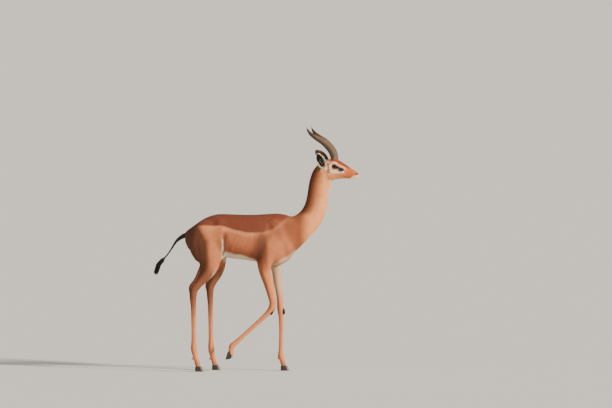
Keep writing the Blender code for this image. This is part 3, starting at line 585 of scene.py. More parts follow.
# Carving of the body on each side: path of x, y, z on its right, radius, height
BODY_STROKES = [
    ([(0.145, -0.06, 0.930), (0.175, -0.07, 0.860), (0.205, -0.06, 0.765)], 0.036, 0.0024),
    ([(0.085, -0.05, 0.972), (0.108, -0.06, 0.945)], 0.034, -0.0036),
    ([(0.085, -0.06, 0.950), (0.060, -0.10, 0.845), (0.005, -0.11, 0.745)], 0.030, -0.0042),
    ([(0.020, -0.11, 0.720), (0.110, -0.10, 0.745), (0.175, -0.08, 0.790)], 0.026, -0.0020),
    ([(0.120, -0.09, 0.800), (0.070, -0.10, 0.765), (0.030, -0.10, 0.735)], 0.036, 0.0034),
    ([(-0.205, -0.10, 0.860), (-0.190, -0.09, 0.790), (-0.185, -0.07, 0.728)], 0.030, -0.0050),
    ([(-0.225, -0.09, 0.900), (-0.225, -0.10, 0.820), (-0.225, -0.09, 0.745)], 0.030, 0.0030),
    ([(-0.260, -0.08, 0.950), (-0.215, -0.09, 0.930)], 0.034, 0.0028),
    ([(-0.350, -0.10, 0.900), (-0.385, -0.10, 0.830), (-0.372, -0.10, 0.745)], 0.022, -0.0024),
    ([(-0.300, -0.11, 0.860), (-0.310, -0.115, 0.780), (-0.300, -0.11, 0.700)], 0.050, 0.0030),
    ([(0.230, -0.05, 0.900), (0.300, -0.06, 0.925), (0.360, -0.05, 1.000), (0.385, -0.05, 1.100)],
     0.022, -0.0016),
    ([(0.265, -0.05, 0.960), (0.330, -0.05, 1.050), (0.345, -0.05, 1.150)], 0.030, 0.0014),
]
RIBS = 7
RIB_FRONT = 0.020
RIB_STEP = 0.031
RIB_RISE = 0.0008
RIB_RADIUS = 0.011
# Carving of the legs, which follows each leg's own rows from its knee or hock
LEG_GROOVE_RADIUS = 0.0063
LEG_GROOVE_DEPTH = 0.0016
KNEE_ROW = 7
HOCK_ROW = 9


def carved(points, strokes):
    """How much strokes of path, radius and height raise each point, on both sides."""
    rise = np.zeros(len(points))
    mirrored = points * [1, -1, 1]
    for path, radius, height in strokes:
        rise += bump_along(points, path, radius, height) + bump_along(mirrored, path, radius, height)
    return rise


def rib_strokes():
    strokes = []
    for k in range(RIBS):
        x = RIB_FRONT - k * RIB_STEP
        path = [(x + 0.012, -0.10, 0.910), (x, -0.11, 0.840), (x - 0.030, -0.10, 0.765)]
        strokes.append((path, RIB_RADIUS, RIB_RISE))
    return strokes


def leg_carving(points):
    """Grooves between bone and tendon along each cannon, on both its sides."""
    rise = np.zeros(len(points))
    for name, rows in LEGS.items():
        stretch = rows[KNEE_ROW if name.startswith("fore") else HOCK_ROW:-4]
        for side in (-1, 1):
            path = []
            for row, ahead in zip(stretch, stretch[1:]):
                way = np.array([ahead[0] - row[0], 0, ahead[2] - row[2]])
                way /= np.linalg.norm(way)
                back = np.array([way[2], 0, -way[0]])
                path.append(np.array(row[:3]) + back * row[3] * 0.25 + np.array([0, side * row[4], 0]))
            rise += bump_along(points, path, LEG_GROOVE_RADIUS, -LEG_GROOVE_DEPTH)
    return rise


def eye_frame(side):
    """The middle of an eye, the way it looks, its front corner's way and its upward way."""
    centre = EYE_CENTRE * [1, side, 1]
    axis = EYE_AXIS * [1, side, 1]
    axis = axis / np.linalg.norm(axis)
    front = np.array([1.0, 0, -0.30])
    front -= axis * (front @ axis)
    front /= np.linalg.norm(front)
    up = np.cross(front, axis) * side
    if up[2] < 0:
        up = -up
    return centre, axis, front, up


def opening(across, rise):
    """Below one inside the gap between the lids."""
    high = np.where(rise > 0, EYE_HIGH_UP, EYE_HIGH_DOWN)
    return np.sqrt((across / EYE_LONG) ** 2 + (rise / high) ** 2 * (1 + 0.55 * (across / EYE_LONG) ** 2))


def seat_eyes(points):
    """Draws the skin over each eyeball as lids, and sinks it where the eye shows."""
    for side in (-1, 1):
        centre, axis, front, up = eye_frame(side)
        offset = points - centre
        depth = offset @ axis
        across = offset @ front
        rise = offset @ up
        flat = np.hypot(across, rise)
        near = (flat < EYE_RADIUS * 1.7) & (depth > -0.004)
        gap = opening(across[near], rise[near])
        lid = EYE_RADIUS + LID_OVER
        ball = np.sqrt(np.clip(lid**2 - flat[near] ** 2, 0, None))
        weight = 1 - smooth_step(flat[near], EYE_RADIUS * 0.92, EYE_RADIUS * 1.55)
        shown = smooth_step(gap, 0.93, 1.05)
        crease = 0.0012 * np.exp(-((gap - 1.55) / 0.16) ** 2) * (rise[near] > 0)
        edge = 0.0007 * np.exp(-((gap - 1.10) / 0.10) ** 2)
        wanted = np.maximum(ball, depth[near] * 0.3) + edge - crease
        wanted = wanted * shown + (ball - 0.0050) * (1 - shown)
        moved = depth[near] * (1 - weight) + wanted * weight
        points[near] += axis * (moved - depth[near])[:, None]
    return points


# Route of the nostril, and of the mouth from its corner to the middle by x and y
NOSTRIL = [(0.633, -0.0220, 1.2470), (0.639, -0.0195, 1.2515), (0.6440, -0.0145, 1.2535)]
MOUTH = [(0.588, -0.0250), (0.600, -0.0255), (0.614, -0.0255), (0.628, -0.0230), (0.640, -0.0160),
         (0.6475, -0.0080), (0.6505, 0)]
# Carving of the head before it turns, on its right: path, radius, height
HEAD_STROKES = [
    ([(0.513, -0.049, 1.318), (0.490, -0.052, 1.324), (0.472, -0.050, 1.319)], 0.011, 0.0026),
    ([(0.530, -0.043, 1.273), (0.504, -0.049, 1.272), (0.474, -0.052, 1.281)], 0.009, 0.0018),
    ([(0.526, -0.041, 1.287), (0.539, -0.036, 1.278), (0.547, -0.034, 1.273)], 0.0085, -0.0032),
    ([(0.534, -0.040, 1.2735), (0.542, -0.037, 1.2715)], 0.0032, -0.0022),
    ([(0.560, -0.030, 1.240), (0.585, -0.026, 1.236)], 0.014, 0.0012),
    ([(0.540, -0.030, 1.298), (0.570, -0.026, 1.284), (0.600, -0.021, 1.268)], 0.010, -0.0016),
    ([(0.552, -0.030, 1.262), (0.580, -0.028, 1.258)], 0.012, -0.0012),
    ([(0.470, -0.048, 1.236), (0.500, -0.044, 1.226)], 0.016, 0.0016),
    ([(0.440, -0.050, 1.262), (0.452, -0.052, 1.236)], 0.010, -0.0018),
    ([(0.628, -0.021, 1.255), (0.637, -0.019, 1.2585), (0.644, -0.013, 1.2585)], 0.0055, 0.0017),
    (NOSTRIL, 0.0034, -0.0052),
    ([(0.629, -0.0230, 1.2440), (0.633, -0.0220, 1.2470)], 0.0026, -0.0022),
    ([(0.650, 0.000, 1.2560), (0.652, 0.000, 1.2440)], 0.0030, -0.0008),
]


def head_carving(points):
    """The head's strokes, and the mouth with a lip's roll above and below it."""
    rise = carved(points, HEAD_STROKES)
    mouth = [(x, y, MOUTH_LEVEL + 0.0015 * math.sin((x - 0.588) * 60)) for x, y in MOUTH]
    mouth += [(x, -y, z) for x, y, z in mouth[-2::-1]]
    rise += bump_along(points, mouth, 0.0026, -0.0030)
    upper = [(x, y, z + 0.0050) for x, y, z in mouth]
    lower = [(x, y, z - 0.0048) for x, y, z in mouth]
    rise += bump_along(points, upper, 0.0046, 0.0013) + bump_along(points, lower, 0.0042, 0.0011)
    return rise


def subdivided(mesh, chosen):
    """Splits the chosen faces into four, by a test on their middles."""
    shape = bmesh.new()
    shape.from_mesh(mesh)
    edges = {edge for face in shape.faces if chosen(face.calc_center_median()) for edge in face.edges}
    bmesh.ops.subdivide_edges(shape, edges=list(edges), cuts=1, use_grid_fill=True, smooth=0.6)
    bmesh.ops.triangulate(shape, faces=[face for face in shape.faces if len(face.verts) > 4])
    shape.to_mesh(mesh)
    shape.free()


def dewclaws():
    """Two small nubs behind each fetlock."""
    meshes = []
    for rows in LEGS.values():
        fetlock = rows[-4]
        for side in (-1, 1):
            centre = (fetlock[0] - 0.017, fetlock[1] + side * 0.010, fetlock[2] - 0.012)
            meshes.append(ellipsoid(centre, (0.008, 0.006, 0.009)))
    return meshes


def lip_meshes():
    meshes = []
    for level, radius in LIP_LEVELS:
        route = [(x, -y) for x, y in LIPS] + [(x, y) for x, y in LIPS[-2::-1]]
        rows = [(x, y, level, radius, radius) for x, y in route]
        meshes.append(curve_tube(rows, 40, 14))
    return meshes


def make_skin():
    """The whole hide but for the ears and tail, as one closed skin."""
    meshes = [tube(upright_rows(TORSO), 60, 48, 2.2, upright=True), tube(neck_rows(), 60, 40)]
    for rows in LEGS.values():
        meshes.append(tube(rows, 110, 28))
    for rows in TENDONS:
        meshes.append(tube(rows, 30, 16))
    meshes += mirrored_forms(MUSCLES)
    meshes += dewclaws()
    head = [tube(upright_rows(HEAD), 70, 48, 2.2, upright=True)]
    head += mirrored_forms(HEAD_FORMS) + lip_meshes()
    for side in (-1, 1):
        head.append(ellipsoid((HORN[0][0], side * HORN[0][2], 1.338), (0.026, 0.021, 0.018)))
    for root, way, _ in EARS.values():
        way = Vector(way).normalized()
        start = Vector(root) - way * 0.02
        rows = [(*(start + way * 0.012 * k), radius, radius)
                for k, radius in enumerate((0.016, 0.018, 0.0175, 0.0150))]
        head.append(curve_tube(rows, 12, 16))
    meshes += [turn_head(mesh) for mesh in head]
    skin = link("skin", joined(meshes))
    remesh = skin.modifiers.new("skin", "REMESH")
    remesh.mode = "VOXEL"
    remesh.voxel_size = SKIN_VOXEL
    evaluated(skin)
    x, _, z = points_of(skin.data).T
    soften(skin, 80, smooth_step(z, *SOFT_FROM) * (1 - smooth_step(z, *SOFT_TO)))
    soften(skin, 30, smooth_step(z, *SOFT_TO) * (1 - smooth_step(x, 0.455, 0.485)))
    soften(skin, 10, np.ones(len(skin.data.vertices)))
    points = points_of(skin.data)
    rise = carved(points, BODY_STROKES + rib_strokes()) + leg_carving(points) - COAT_DEPTH
    set_points(skin.data, points + normals_of(skin.data) * rise[:, None])
    subdivided(skin.data, lambda place: place.z > 1.21 and place.x > 0.40)
    eyes = [Vector(HEAD_TURN @ Vector(EYE_CENTRE * [1, side, 1])) for side in (-1, 1)]
    subdivided(skin.data, lambda place: (place.x > 0.600 and place.z > 1.20)
               or min((place - eye).length for eye in eyes) < 0.026)
    points = points_of(skin.data)
    normals = normals_of(skin.data)
    head_part = np.nonzero((points[:, 2] > 1.19) & (points[:, 0] > 0.385))[0]
    local = unturned(points[head_part])
    ways = normals[head_part] @ np.array(HEAD_TURN)[:3, :3]
    local += ways * head_carving(local)[:, None]
    local = seat_eyes(local)
    points[head_part] = turned(local)
    set_points(skin.data, points)
    skin.data.shade_smooth()
    return skin


def mix(base, colour, share):
    """Lays a named colour over an array of colours by a share from 0 to 1."""
    return base + (linear(colour) - base) * share[:, None]


def lay(colour, points, mark):
    """Lays a mark over an array of colours: colour, radius, softness, strength and path."""
    name, radius, softness, strength, path = mark
    return mix(colour, name, spot(points, path, radius, softness) * strength)


# Marks of the body, on its left side for both sides, some of them painted shade: colour, radius,
# softness, strength, path
# Painted shadow of the foreleg in the hollow behind the elbow
ELBOW_SHADOW = ("dark_brown_and_shade", 0.044, 0.85, 0.88,
         [(0.010, 0.11, 0.735), (0.030, 0.11, 0.790), (0.045, 0.11, 0.850)])
HAUNCH_TOP = ("pale_line", 0.035, 0.7, 0.5, [(-0.270, 0.08, 0.935), (-0.300, 0.08, 0.925)])
# Painted shade in the dip behind the shoulder
SHOULDER_SHADE = ("dark_brown_and_shade", 0.014, 0.8, 0.45, [(0.055, 0.10, 0.925), (0.058, 0.10, 0.885)])
# Painted shadow line in the gap between the flank and the thigh
GROIN_SHADOW = ("dark_brown_and_shade", 0.012, 0.8, 0.85,
         [(-0.200, 0.10, 0.870), (-0.202, 0.09, 0.815), (-0.203, 0.085, 0.775), (-0.206, 0.08, 0.745)])
THIGH_EDGE = ("belly", 0.0048, 0.6, 0.75,
              [(-0.216, 0.10, 0.845), (-0.217, 0.095, 0.790), (-0.219, 0.09, 0.735)])
# Borders of markings by x and z, but for the border of painted shade on the haunch, which is by z and x
SADDLE_EDGE = [(-0.470, 0.880), (-0.389, 0.925), (-0.232, 0.925), (-0.127, 0.901), (-0.067, 0.884),
               (0.046, 0.884), (0.100, 0.900), (0.170, 0.955), (0.230, 1.000)]
BELLY_EDGE = [(-0.260, 0.700), (-0.217, 0.800), (-0.202, 0.768), (-0.142, 0.749), (-0.067, 0.733),
              (-0.015, 0.712), (0.030, 0.672), (0.098, 0.682), (0.151, 0.710), (0.200, 0.738),
              (0.225, 0.758), (0.245, 0.775)]
HAUNCH_SHADE_EDGE = [(0.62, -0.306), (0.70, -0.306), (0.77, -0.308), (0.83, -0.310), (0.90, -0.346),
               (0.96, -0.38)]
FOREHEAD_EDGE = [(0.47, 1.334), (0.50, 1.328), (0.512, 1.322), (0.56, 1.297), (0.60, 1.280),
                 (0.64, 1.262)]
LIP_EDGE = [(0.592, 1.216), (0.606, 1.230), (0.618, 1.240), (0.632, 1.2445), (0.650, 1.2465)]
# Rows of the neck that its own markings follow
NECK_SHOWN = NECK[2:]
THROAT_SHOWN = NECK[2:9]


def edge_height(table, x):
    """Reads a border's second value at each place of its first."""
    return np.interp(x, [row[0] for row in table], [row[1] for row in table])


def wobble(points, size, seed):
    """A smooth wandering value from -1 to 1, made from a few sines."""
    draw = random.Random(seed)
    total = np.zeros(len(points))
    for _ in range(5):
        way = np.array([draw.uniform(-1, 1) for _ in range(3)])
        way *= 2 * math.pi / (size * draw.uniform(0.6, 1.6) * np.linalg.norm(way))
        total += np.sin(points @ way + draw.uniform(0, 6.28))
    return total / 5


def body_colour(points):
    """Markings of trunk and neck, from the flank's colour up to the finest lines, with painted shade
    behind elbow, shoulder and haunch, in the groin and on the nape.
    """
    x, y, z = points.T
    side = np.abs(y)
    beside = np.stack([x, side, z], axis=1)
    wander = wobble(points, 0.09, 3) * 0.006
    saddle_edge = edge_height(SADDLE_EDGE, x) + wander
    below = saddle_edge - z
    trunk = 1 - smooth_step(x, 0.16, 0.26)
    front = smooth_step(x, 0.055, 0.085)
    colour = np.tile(linear("flank"), (len(points), 1))
    colour = mix(colour, "pale_line", np.exp(-((below - 0.012) / 0.014) ** 2) * 0.7 * trunk)
    colour = mix(colour, "low_flank", smooth_step(below, 0.05, 0.15) * trunk * 0.75)
    colour = lay(colour, beside, ELBOW_SHADOW)
    colour = mix(colour, "thigh", smooth_step(-x, 0.205, 0.235) * 0.8)
    colour = lay(colour, beside, HAUNCH_TOP)
    low_shoulder = front * (1 - smooth_step(z, 0.80, 0.92)) * (1 - smooth_step(x, 0.2, 0.3))
    colour = mix(colour, "thigh", low_shoulder * 0.7)
    high_shoulder = smooth_step(z, 0.80, 0.93) * front * (1 - smooth_step(x, 0.20, 0.32))
    colour = mix(colour, "saddle", high_shoulder * 0.45)
    cover = smooth_step(z, saddle_edge - 0.005, saddle_edge + 0.007)
    colour = mix(colour, "saddle", cover * trunk * (1 - 0.5 * front * (1 - smooth_step(z, 0.95, 0.985))))
    colour = mix(colour, "dark_brown_and_shade", smooth_step(z, 0.985, 0.995) * (1 - front) * 0.35)
    colour = lay(colour, beside, SHOULDER_SHADE)
    # Painted shade over the rear of the haunch, which faces away from the light
    haunch = edge_height(HAUNCH_SHADE_EDGE, z) + wander
    behind = 1 - smooth_step(x, haunch - 0.022, haunch + 0.022)
    colour = mix(colour, "dark_brown_and_shade", behind * smooth_step(z, 0.55, 0.64) * 0.95)
    neck = smooth_step(x, 0.17, 0.28)
    colour = colour + (neck_colour(x, z) - colour) * neck[:, None]
    throat_x = np.interp(z, [row[3] for row in THROAT_SHOWN], [row[2] for row in THROAT_SHOWN])
    throat = smooth_step(x - throat_x, -0.020, -0.004) * smooth_step(z, 1.10, 1.15)
    colour = mix(colour, "belly", throat * smooth_step(-side, -0.030, -0.010) * 0.95)
    colour = mix(colour, "belly", white_below(x, side, z, wander))
    colour = lay(colour, beside, GROIN_SHADOW)
    colour = lay(colour, beside, THIGH_EDGE)
    mottle = 1 + 0.05 * wobble(points, 0.022, 5) + 0.06 * wobble(points, 0.10, 6)
    return colour * mottle[:, None]


def neck_colour(x, z):
    """Tan in front, brown in the middle and nearly black along the nape: painted shade that deepens from
    the lit front of the neck to its nape.
    """
    colour = np.tile(linear("neck"), (len(x), 1))
    back_x = np.interp(z, [row[1] for row in NECK_SHOWN], [row[0] for row in NECK_SHOWN])
    # Painted shade, deepening from the middle of the neck to the nape
    nape = 1 - smooth_step(x - back_x, 0.0, 0.040 + 0.012 * smooth_step(z, 1.1, 1.28))
    middle = 1 - smooth_step(x - back_x, 0.030, 0.105)
    colour = mix(colour, "low_flank", middle * 0.95)
    return mix(colour, "deep_brown_and_shade", nape * 0.92 * smooth_step(z, 0.96, 1.05))


def white_below(x, side, z, wander):
    """How white the underside is: fully at the belly, fading forward, and not on the near arm."""
    edge = edge_height(BELLY_EDGE, x) + wander * 0.6
    under = (1 - smooth_step(z, edge - 0.006, edge + 0.006)) * (1 - smooth_step(x, 0.235, 0.26))
    along = smooth_step(x, -0.020, 0.005) * (1 - smooth_step(x, 0.135, 0.155))
    arm = along * (1 - smooth_step(z, 0.69, 0.71))
    under *= 1 - arm * smooth_step(side, 0.050, 0.064)
    under *= 1 - 0.30 * smooth_step(x, 0.06, 0.12) - 0.30 * smooth_step(x, 0.15, 0.24)
    low = 0.60 + 0.08 * (1 - smooth_step(x, -0.16, -0.10))
    return under * smooth_step(z, low, low + 0.04) * smooth_step(x, -0.230, -0.212)


def leg_places(points):
    """Nearest leg and the offset from its middle line, for each point."""
    best = np.full(len(points), np.inf)
    leg = np.zeros(len(points), int)
    offset = np.zeros((len(points), 3))
    for number, rows in enumerate(LEGS.values()):
        for centre in smooth_rows(rows, 60)[:, :3]:
            away = points - centre
            far = np.linalg.norm(away, axis=1)
            closer = far < best
            best[closer] = far[closer]
            leg[closer] = number
            offset[closer] = away[closer]
    return leg, offset


def leg_colour(points, colour):
    """Legs tan in front and darker behind as painted shade, pale inside, with a black patch below each
    knee's brush.
    """
    z = points[:, 2]
    low = 1 - smooth_step(z, 0.60, 0.70)
    leg, offset = leg_places(points)
    shade = np.tile(linear("leg"), (len(points), 1))
    back = -(offset[:, 0])
    # Painted shade on the back of each leg, away from the light
    shade = mix(shade, "dark_tan_and_shade", smooth_step(back, 0.0, 0.022) * 0.65)
    shade = mix(shade, "deep_brown_and_shade", (1 - smooth_step(z, 0.03, 0.10)) * 0.35)
    for number, name in enumerate(LEGS):
        here = (leg == number).astype(float)
        inward = -offset[:, 1] * (1 if name.endswith("left") else -1)
        inner = smooth_step(inward, 0.004, 0.020) * smooth_step(z, 0.38, 0.56)
        shade = mix(shade, "belly", inner * here * (0.60 if name.startswith("fore") else 0.25))
        if name.startswith("hind"):
            # Painted shade over the lower hind legs and hocks
            shade = mix(shade, "dark_tan_and_shade", here * smooth_step(z, 0.25, 0.50) * 0.90)
            front = smooth_step(offset[:, 0], 0.026, 0.040) * smooth_step(z, 0.56, 0.62)
            shade = mix(shade, "belly", front * here * 0.5)
            # Painted shade down the rear of each hind leg
            rear = smooth_step(back, 0.000, 0.024) * smooth_step(z, 0.40, 0.52)
            shade = mix(shade, "dark_brown_and_shade", rear * here * 0.85)
    colour = colour + (shade - colour) * low[:, None]
    for middle, _, hang, _ in BRUSHES.values():
        end = Vector(middle) + Vector(hang).normalized() * 0.016
        colour = mix(colour, "dark", spot(points, [middle, end], 0.017) * 0.9)
    return colour


# Marks of the face before the head turns, on its right: colour, radius, softness, strength, path
FACE_MARKS = [
    # Painted shade of the nape carried on to the back of the head
    ("deep_brown_and_shade", 0.026, 0.35, 0.8, [(0.385, 0, 1.300), (0.400, -0.03, 1.285)]),
    ("dark_tan_and_shade", 0.007, 0.7, 0.6,
     [(0.468, -0.050, 1.315), (0.466, -0.050, 1.290), (0.470, -0.048, 1.262)]),
    ("eye_ring", 0.005, 0.8, 0.6, [(0.452, -0.045, 1.330), (0.468, -0.046, 1.323)]),
    ("eye_ring", 0.006, 0.8, 0.5, [(0.450, -0.05, 1.302), (0.455, -0.05, 1.288)]),
    ("eye_ring", 0.008, 0.7, 0.7, [(0.447, -0.05, 1.280), (0.425, -0.05, 1.277)]),
    ("muzzle", 0.010, 0.6, 0.8,
     [(0.590, -0.024, 1.238), (0.540, -0.032, 1.236), (0.490, -0.042, 1.236)]),
    ("eye_ring", 0.0072, 0.40, 1.0,
     [(0.484, -0.050, 1.315), (0.496, -0.048, 1.3225), (0.513, -0.045, 1.3215),
      (0.535, -0.040, 1.310), (0.556, -0.032, 1.297), (0.569, -0.029, 1.288)]),
    ("eye_ring", 0.0105, 0.5, 0.95,
     [(0.488, -0.048, 1.269), (0.506, -0.046, 1.264), (0.528, -0.040, 1.263)]),
    ("eye_ring", 0.007, 0.6, 0.7, [(0.530, -0.04, 1.262), (0.556, -0.033, 1.268)]),
    ("eye_ring", 0.0062, 0.5, 0.85, [(0.479, -0.050, 1.282), (0.479, -0.050, 1.304)]),
    ("gland", 0.0108, 0.35, 0.97,
     [(0.522, -0.044, 1.293), (0.537, -0.038, 1.286), (0.553, -0.032, 1.280)]),
    ("gland", 0.0095, 0.4, 0.95, [(0.534, -0.040, 1.276), (0.544, -0.036, 1.274)]),
]
MUZZLE_MARKS = [
    ("gland", 0.0050, 0.6, 0.45, [(0.642, -0.010, 1.2475), (0.650, -0.004, 1.249)]),
    # The nostril and the mouth line are painted dark, as shade in their hollows
    ("dark", 0.0042, 0.35, 0.97, NOSTRIL),
    ("dark", 0.0021, 0.5, 0.95, [(x, y, MOUTH_LEVEL) for x, y in MOUTH]),
]


# The way up the neck, square to the seam between neck and head, by x and z
UP_THE_NECK = (0.654, 0.757)


def up_the_neck(points):
    """How far up and forward a point is."""
    return points[:, 0] * UP_THE_NECK[0] + points[:, 2] * UP_THE_NECK[1]


def head_colour(points, colour):
    """Marks of the face, by places before the head turns."""
    local = unturned(points)
    x, y, z = local.T
    side = np.abs(y)
    right = np.stack([x, -side, z], axis=1)
    face = np.tile(linear("cheek"), (len(points), 1))
    face = mix(face, "muzzle", smooth_step(x, 0.545, 0.590))
    top = edge_height(FOREHEAD_EDGE, x)
    red = smooth_step(z, top - 0.004, top + 0.006) * smooth_step(x, 0.465, 0.490)
    face = mix(face, "forehead", red * (1 - 0.75 * smooth_step(x, 0.575, 0.610)))
    face = mix(face, "neck", smooth_step(-x, -0.455, -0.425) * 0.8)
    for mark in FACE_MARKS:
        face = lay(face, right, mark)
    centre, axis, front, up = eye_frame(-1)
    offset = right - centre
    gap = opening(offset @ front, offset @ up)
    near_eye = (offset @ axis > 0) & (np.linalg.norm(offset, axis=1) < EYE_RADIUS * 2)
    face = mix(face, "dark", (1 - smooth_step(gap, 1.25, 1.60)) * near_eye * 0.97)
    lip_edge = edge_height(LIP_EDGE, x)
    face = mix(face, "lips", 1 - smooth_step(z, lip_edge - 0.0045, lip_edge + 0.0035))
    chin = smooth_step(x, 0.570, 0.60) * (1 - smooth_step(z, 1.2205, 1.2265))
    face = mix(face, "lips", chin)
    for mark in MUZZLE_MARKS:
        face = lay(face, right, mark)
    throat = (1 - smooth_step(z, 1.219, 1.226)) * (1 - smooth_step(side, 0.022, 0.034))
    face = mix(face, "belly", throat * smooth_step(x, 0.47, 0.50))
    head = smooth_step(up_the_neck(local), 1.216, 1.250) * smooth_step(x, 0.37, 0.40)
    return colour + (face - colour) * head[:, None]


def coat_colour(points):
    return head_colour(points, leg_colour(points, body_colour(points)))


def set_colours(mesh, colours):
    layer = mesh.color_attributes.new("coat", "FLOAT_COLOR", "POINT")
    full = np.ones((len(colours), 4))
    full[:, :3] = np.clip(colours, 0, 1)
    layer.data.foreach_set("color", full.ravel())


def lie_of_coat(points):
    """The way that the hair lies at each point, before it is laid flat on the skin."""
    guides = []
    ways = []
    for row in smooth_rows(upright_rows(TORSO), 12)[:, :3]:
        for level in (-0.10, 0.10):
            guides.append(row + [0, 0, level])
            ways.append((-0.88, 0, -0.25 if level > 0 else -0.50))
    neck = smooth_rows(neck_rows(), 12)[:, :3]
    for row, ahead in zip(neck[2:-2], neck[3:-1]):
        guides.append(row)
        ways.append((row - ahead) / np.linalg.norm(row - ahead))
    for rows in LEGS.values():
        fine = smooth_rows(rows[1:], 26)[:, :3]
        for row, ahead in zip(fine, fine[1:]):
            guides.append(row)
            ways.append((ahead - row) / np.linalg.norm(ahead - row))
    for x in (0.45, 0.48, 0.51, 0.54, 0.57, 0.60, 0.63):
        guides.append(np.array(HEAD_TURN @ Vector((x, 0, 1.27))))
        ways.append(turned_ways(np.array([[-0.97, 0, 0.12]]))[0])
    guides = np.array(guides)
    ways = np.array(ways, float)
    blended = np.empty((len(points), 3))
    for start in range(0, len(points), 8000):
        part = slice(start, start + 8000)
        away = np.linalg.norm(points[part, None] - guides[None], axis=2)
        blended[part] = (1 / (away**5 + 1e-9)) @ ways
    return blended / np.linalg.norm(blended, axis=1)[:, None]


def scattered(mesh, count, wanted, seed):
    """Places spread over a mesh, thinned by a function of place, with their normals."""
    mesh.calc_loop_triangles()
    corners = np.empty(len(mesh.loop_triangles) * 3, dtype=np.int32)
    mesh.loop_triangles.foreach_get("vertices", corners)
    corners = corners.reshape(-1, 3)
    points = points_of(mesh)
    normals = normals_of(mesh)
    a, b, c = (points[corners[:, k]] for k in range(3))
    areas = np.linalg.norm(np.cross(b - a, c - a), axis=1) / 2
    areas = areas * wanted((a + b + c) / 3)
    draw = np.random.default_rng(seed)
    chosen = draw.choice(len(areas), size=count, p=areas / areas.sum())
    u, v = draw.random(count), draw.random(count)
    over = u + v > 1
    u[over], v[over] = 1 - u[over], 1 - v[over]
    weights = np.stack([1 - u - v, u, v], axis=1)
    places = (points[corners[chosen]] * weights[:, :, None]).sum(axis=1)
    facing = (normals[corners[chosen]] * weights[:, :, None]).sum(axis=1)
    facing /= np.linalg.norm(facing, axis=1)[:, None]
    return places, facing, draw


def spikes(name, corners, pattern, tones, patch, colours, uv_roots):
    """Closed spikes as one mesh, each in its own colour and on its own spot of the unwrap."""
    count, size = corners.shape[:2]
    faces = (np.array(pattern)[None] + np.arange(count)[:, None, None] * size).reshape(-1, 3)
    mesh = bpy.data.meshes.new(name)
    mesh.vertices.add(count * size)
    mesh.vertices.foreach_set("co", corners.ravel())
    mesh.loops.add(faces.size)
    mesh.loops.foreach_set("vertex_index", faces.ravel())
    mesh.polygons.add(len(faces))
    mesh.polygons.foreach_set("loop_start", np.arange(0, faces.size, 3))
    mesh.polygons.foreach_set("loop_total", np.full(len(faces), 3))
    mesh.update()
    set_colours(mesh, (colours[:, None] * np.array(tones)[None, :, None]).reshape(-1, 3))
    places = (uv_roots[:, None] + (np.array(patch) * UV_PATCH)[None]).reshape(-1, 2)
    layer = mesh.uv_layers.new(name="OFBake")
    layer.data.foreach_set("uv", places[faces.ravel()].ravel())
    return mesh


def flattened(ways, facing):
    """Directions laid flat on the skin."""
    ways = ways - facing * (ways * facing).sum(axis=1)[:, None]
    return ways / np.linalg.norm(ways, axis=1)[:, None]


def tuft_mesh(name, roots, facing, ways, lengths, widths, lifts, bends, colours, spread, uv_roots):
    """Thin closed tufts: a three-sided root and middle, and one tip."""
    ways = flattened(ways, facing)
    across = np.cross(facing, ways)
    ways = ways + across * spread[:, None]
    rise = np.sin(lifts)[:, None]
    run = np.cos(lifts)[:, None]
    heading = ways * run + facing * rise
    lengths = lengths[:, None]
    widths = widths[:, None]
    thick = facing * widths * 0.35
    base = roots - facing * 0.0006
    middle = roots + heading * lengths * 0.5 + bends * 0.25
    tip = roots + heading * lengths + bends - facing * (rise * lengths * 0.45)
    corners = np.stack([
        base - across * widths * 0.4, base + across * widths * 0.4, base + thick,
        middle - across * widths * 0.5, middle + across * widths * 0.5, middle + thick * 0.9,
        tip], axis=1)
    pattern = [(0, 2, 1), (0, 1, 4), (0, 4, 3), (1, 2, 5), (1, 5, 4), (2, 0, 3), (2, 3, 5),
               (3, 4, 6), (4, 5, 6), (5, 3, 6)]
    tones = (0.80, 0.80, 0.84, 1.0, 1.0, 1.02, 1.12)
    patch = [(-1, -1), (1, -1), (0, -1), (-1, 0), (1, 0), (0, 0), (0, 1)]
    mesh = spikes(name, corners, pattern, tones, patch, colours, uv_roots)
    mesh.shade_smooth()
    return mesh


def tufts_on_head(name, roots, facing, ways, *rest):
    """Tufts given by places and ways before the head turns."""
    roots, facing, ways = np.array(roots), np.array(facing), np.array(ways)
    return tuft_mesh(name, turned(roots), turned_ways(facing), turned_ways(ways), *rest)


def coat_mesh(name, roots, facing, tips, widths, colours, uv_roots):
    """Short flat tufts, each a closed spike with its broad side up and its root in the skin."""
    across = np.cross(facing, tips - roots)
    across /= np.linalg.norm(across, axis=1)[:, None]
    half = across * widths[:, None] / 2
    raised = roots + facing * 0.00015
    corners = np.stack([raised - half, raised + half, roots - facing * 0.0009, tips], axis=1)
    pattern = [(0, 3, 1), (0, 1, 2), (0, 2, 3), (1, 3, 2)]
    patch = [(-1, -1), (1, -1), (0, -0.5), (0, 1)]
    mesh = spikes(name, corners, pattern, (0.97, 0.97, 0.90, 1.03), patch, colours, uv_roots)
    mesh.shade_flat()
    return mesh


def add_piece(name, mesh, material, slot, *nodes):
    """Adds a piece that rides with the body and stands for the nodes it is given; its slot is not used.
    """
    piece = link(name, mesh)
    mesh.materials.append(material)
    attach(piece, "root")
    if nodes:
        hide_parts(*nodes)


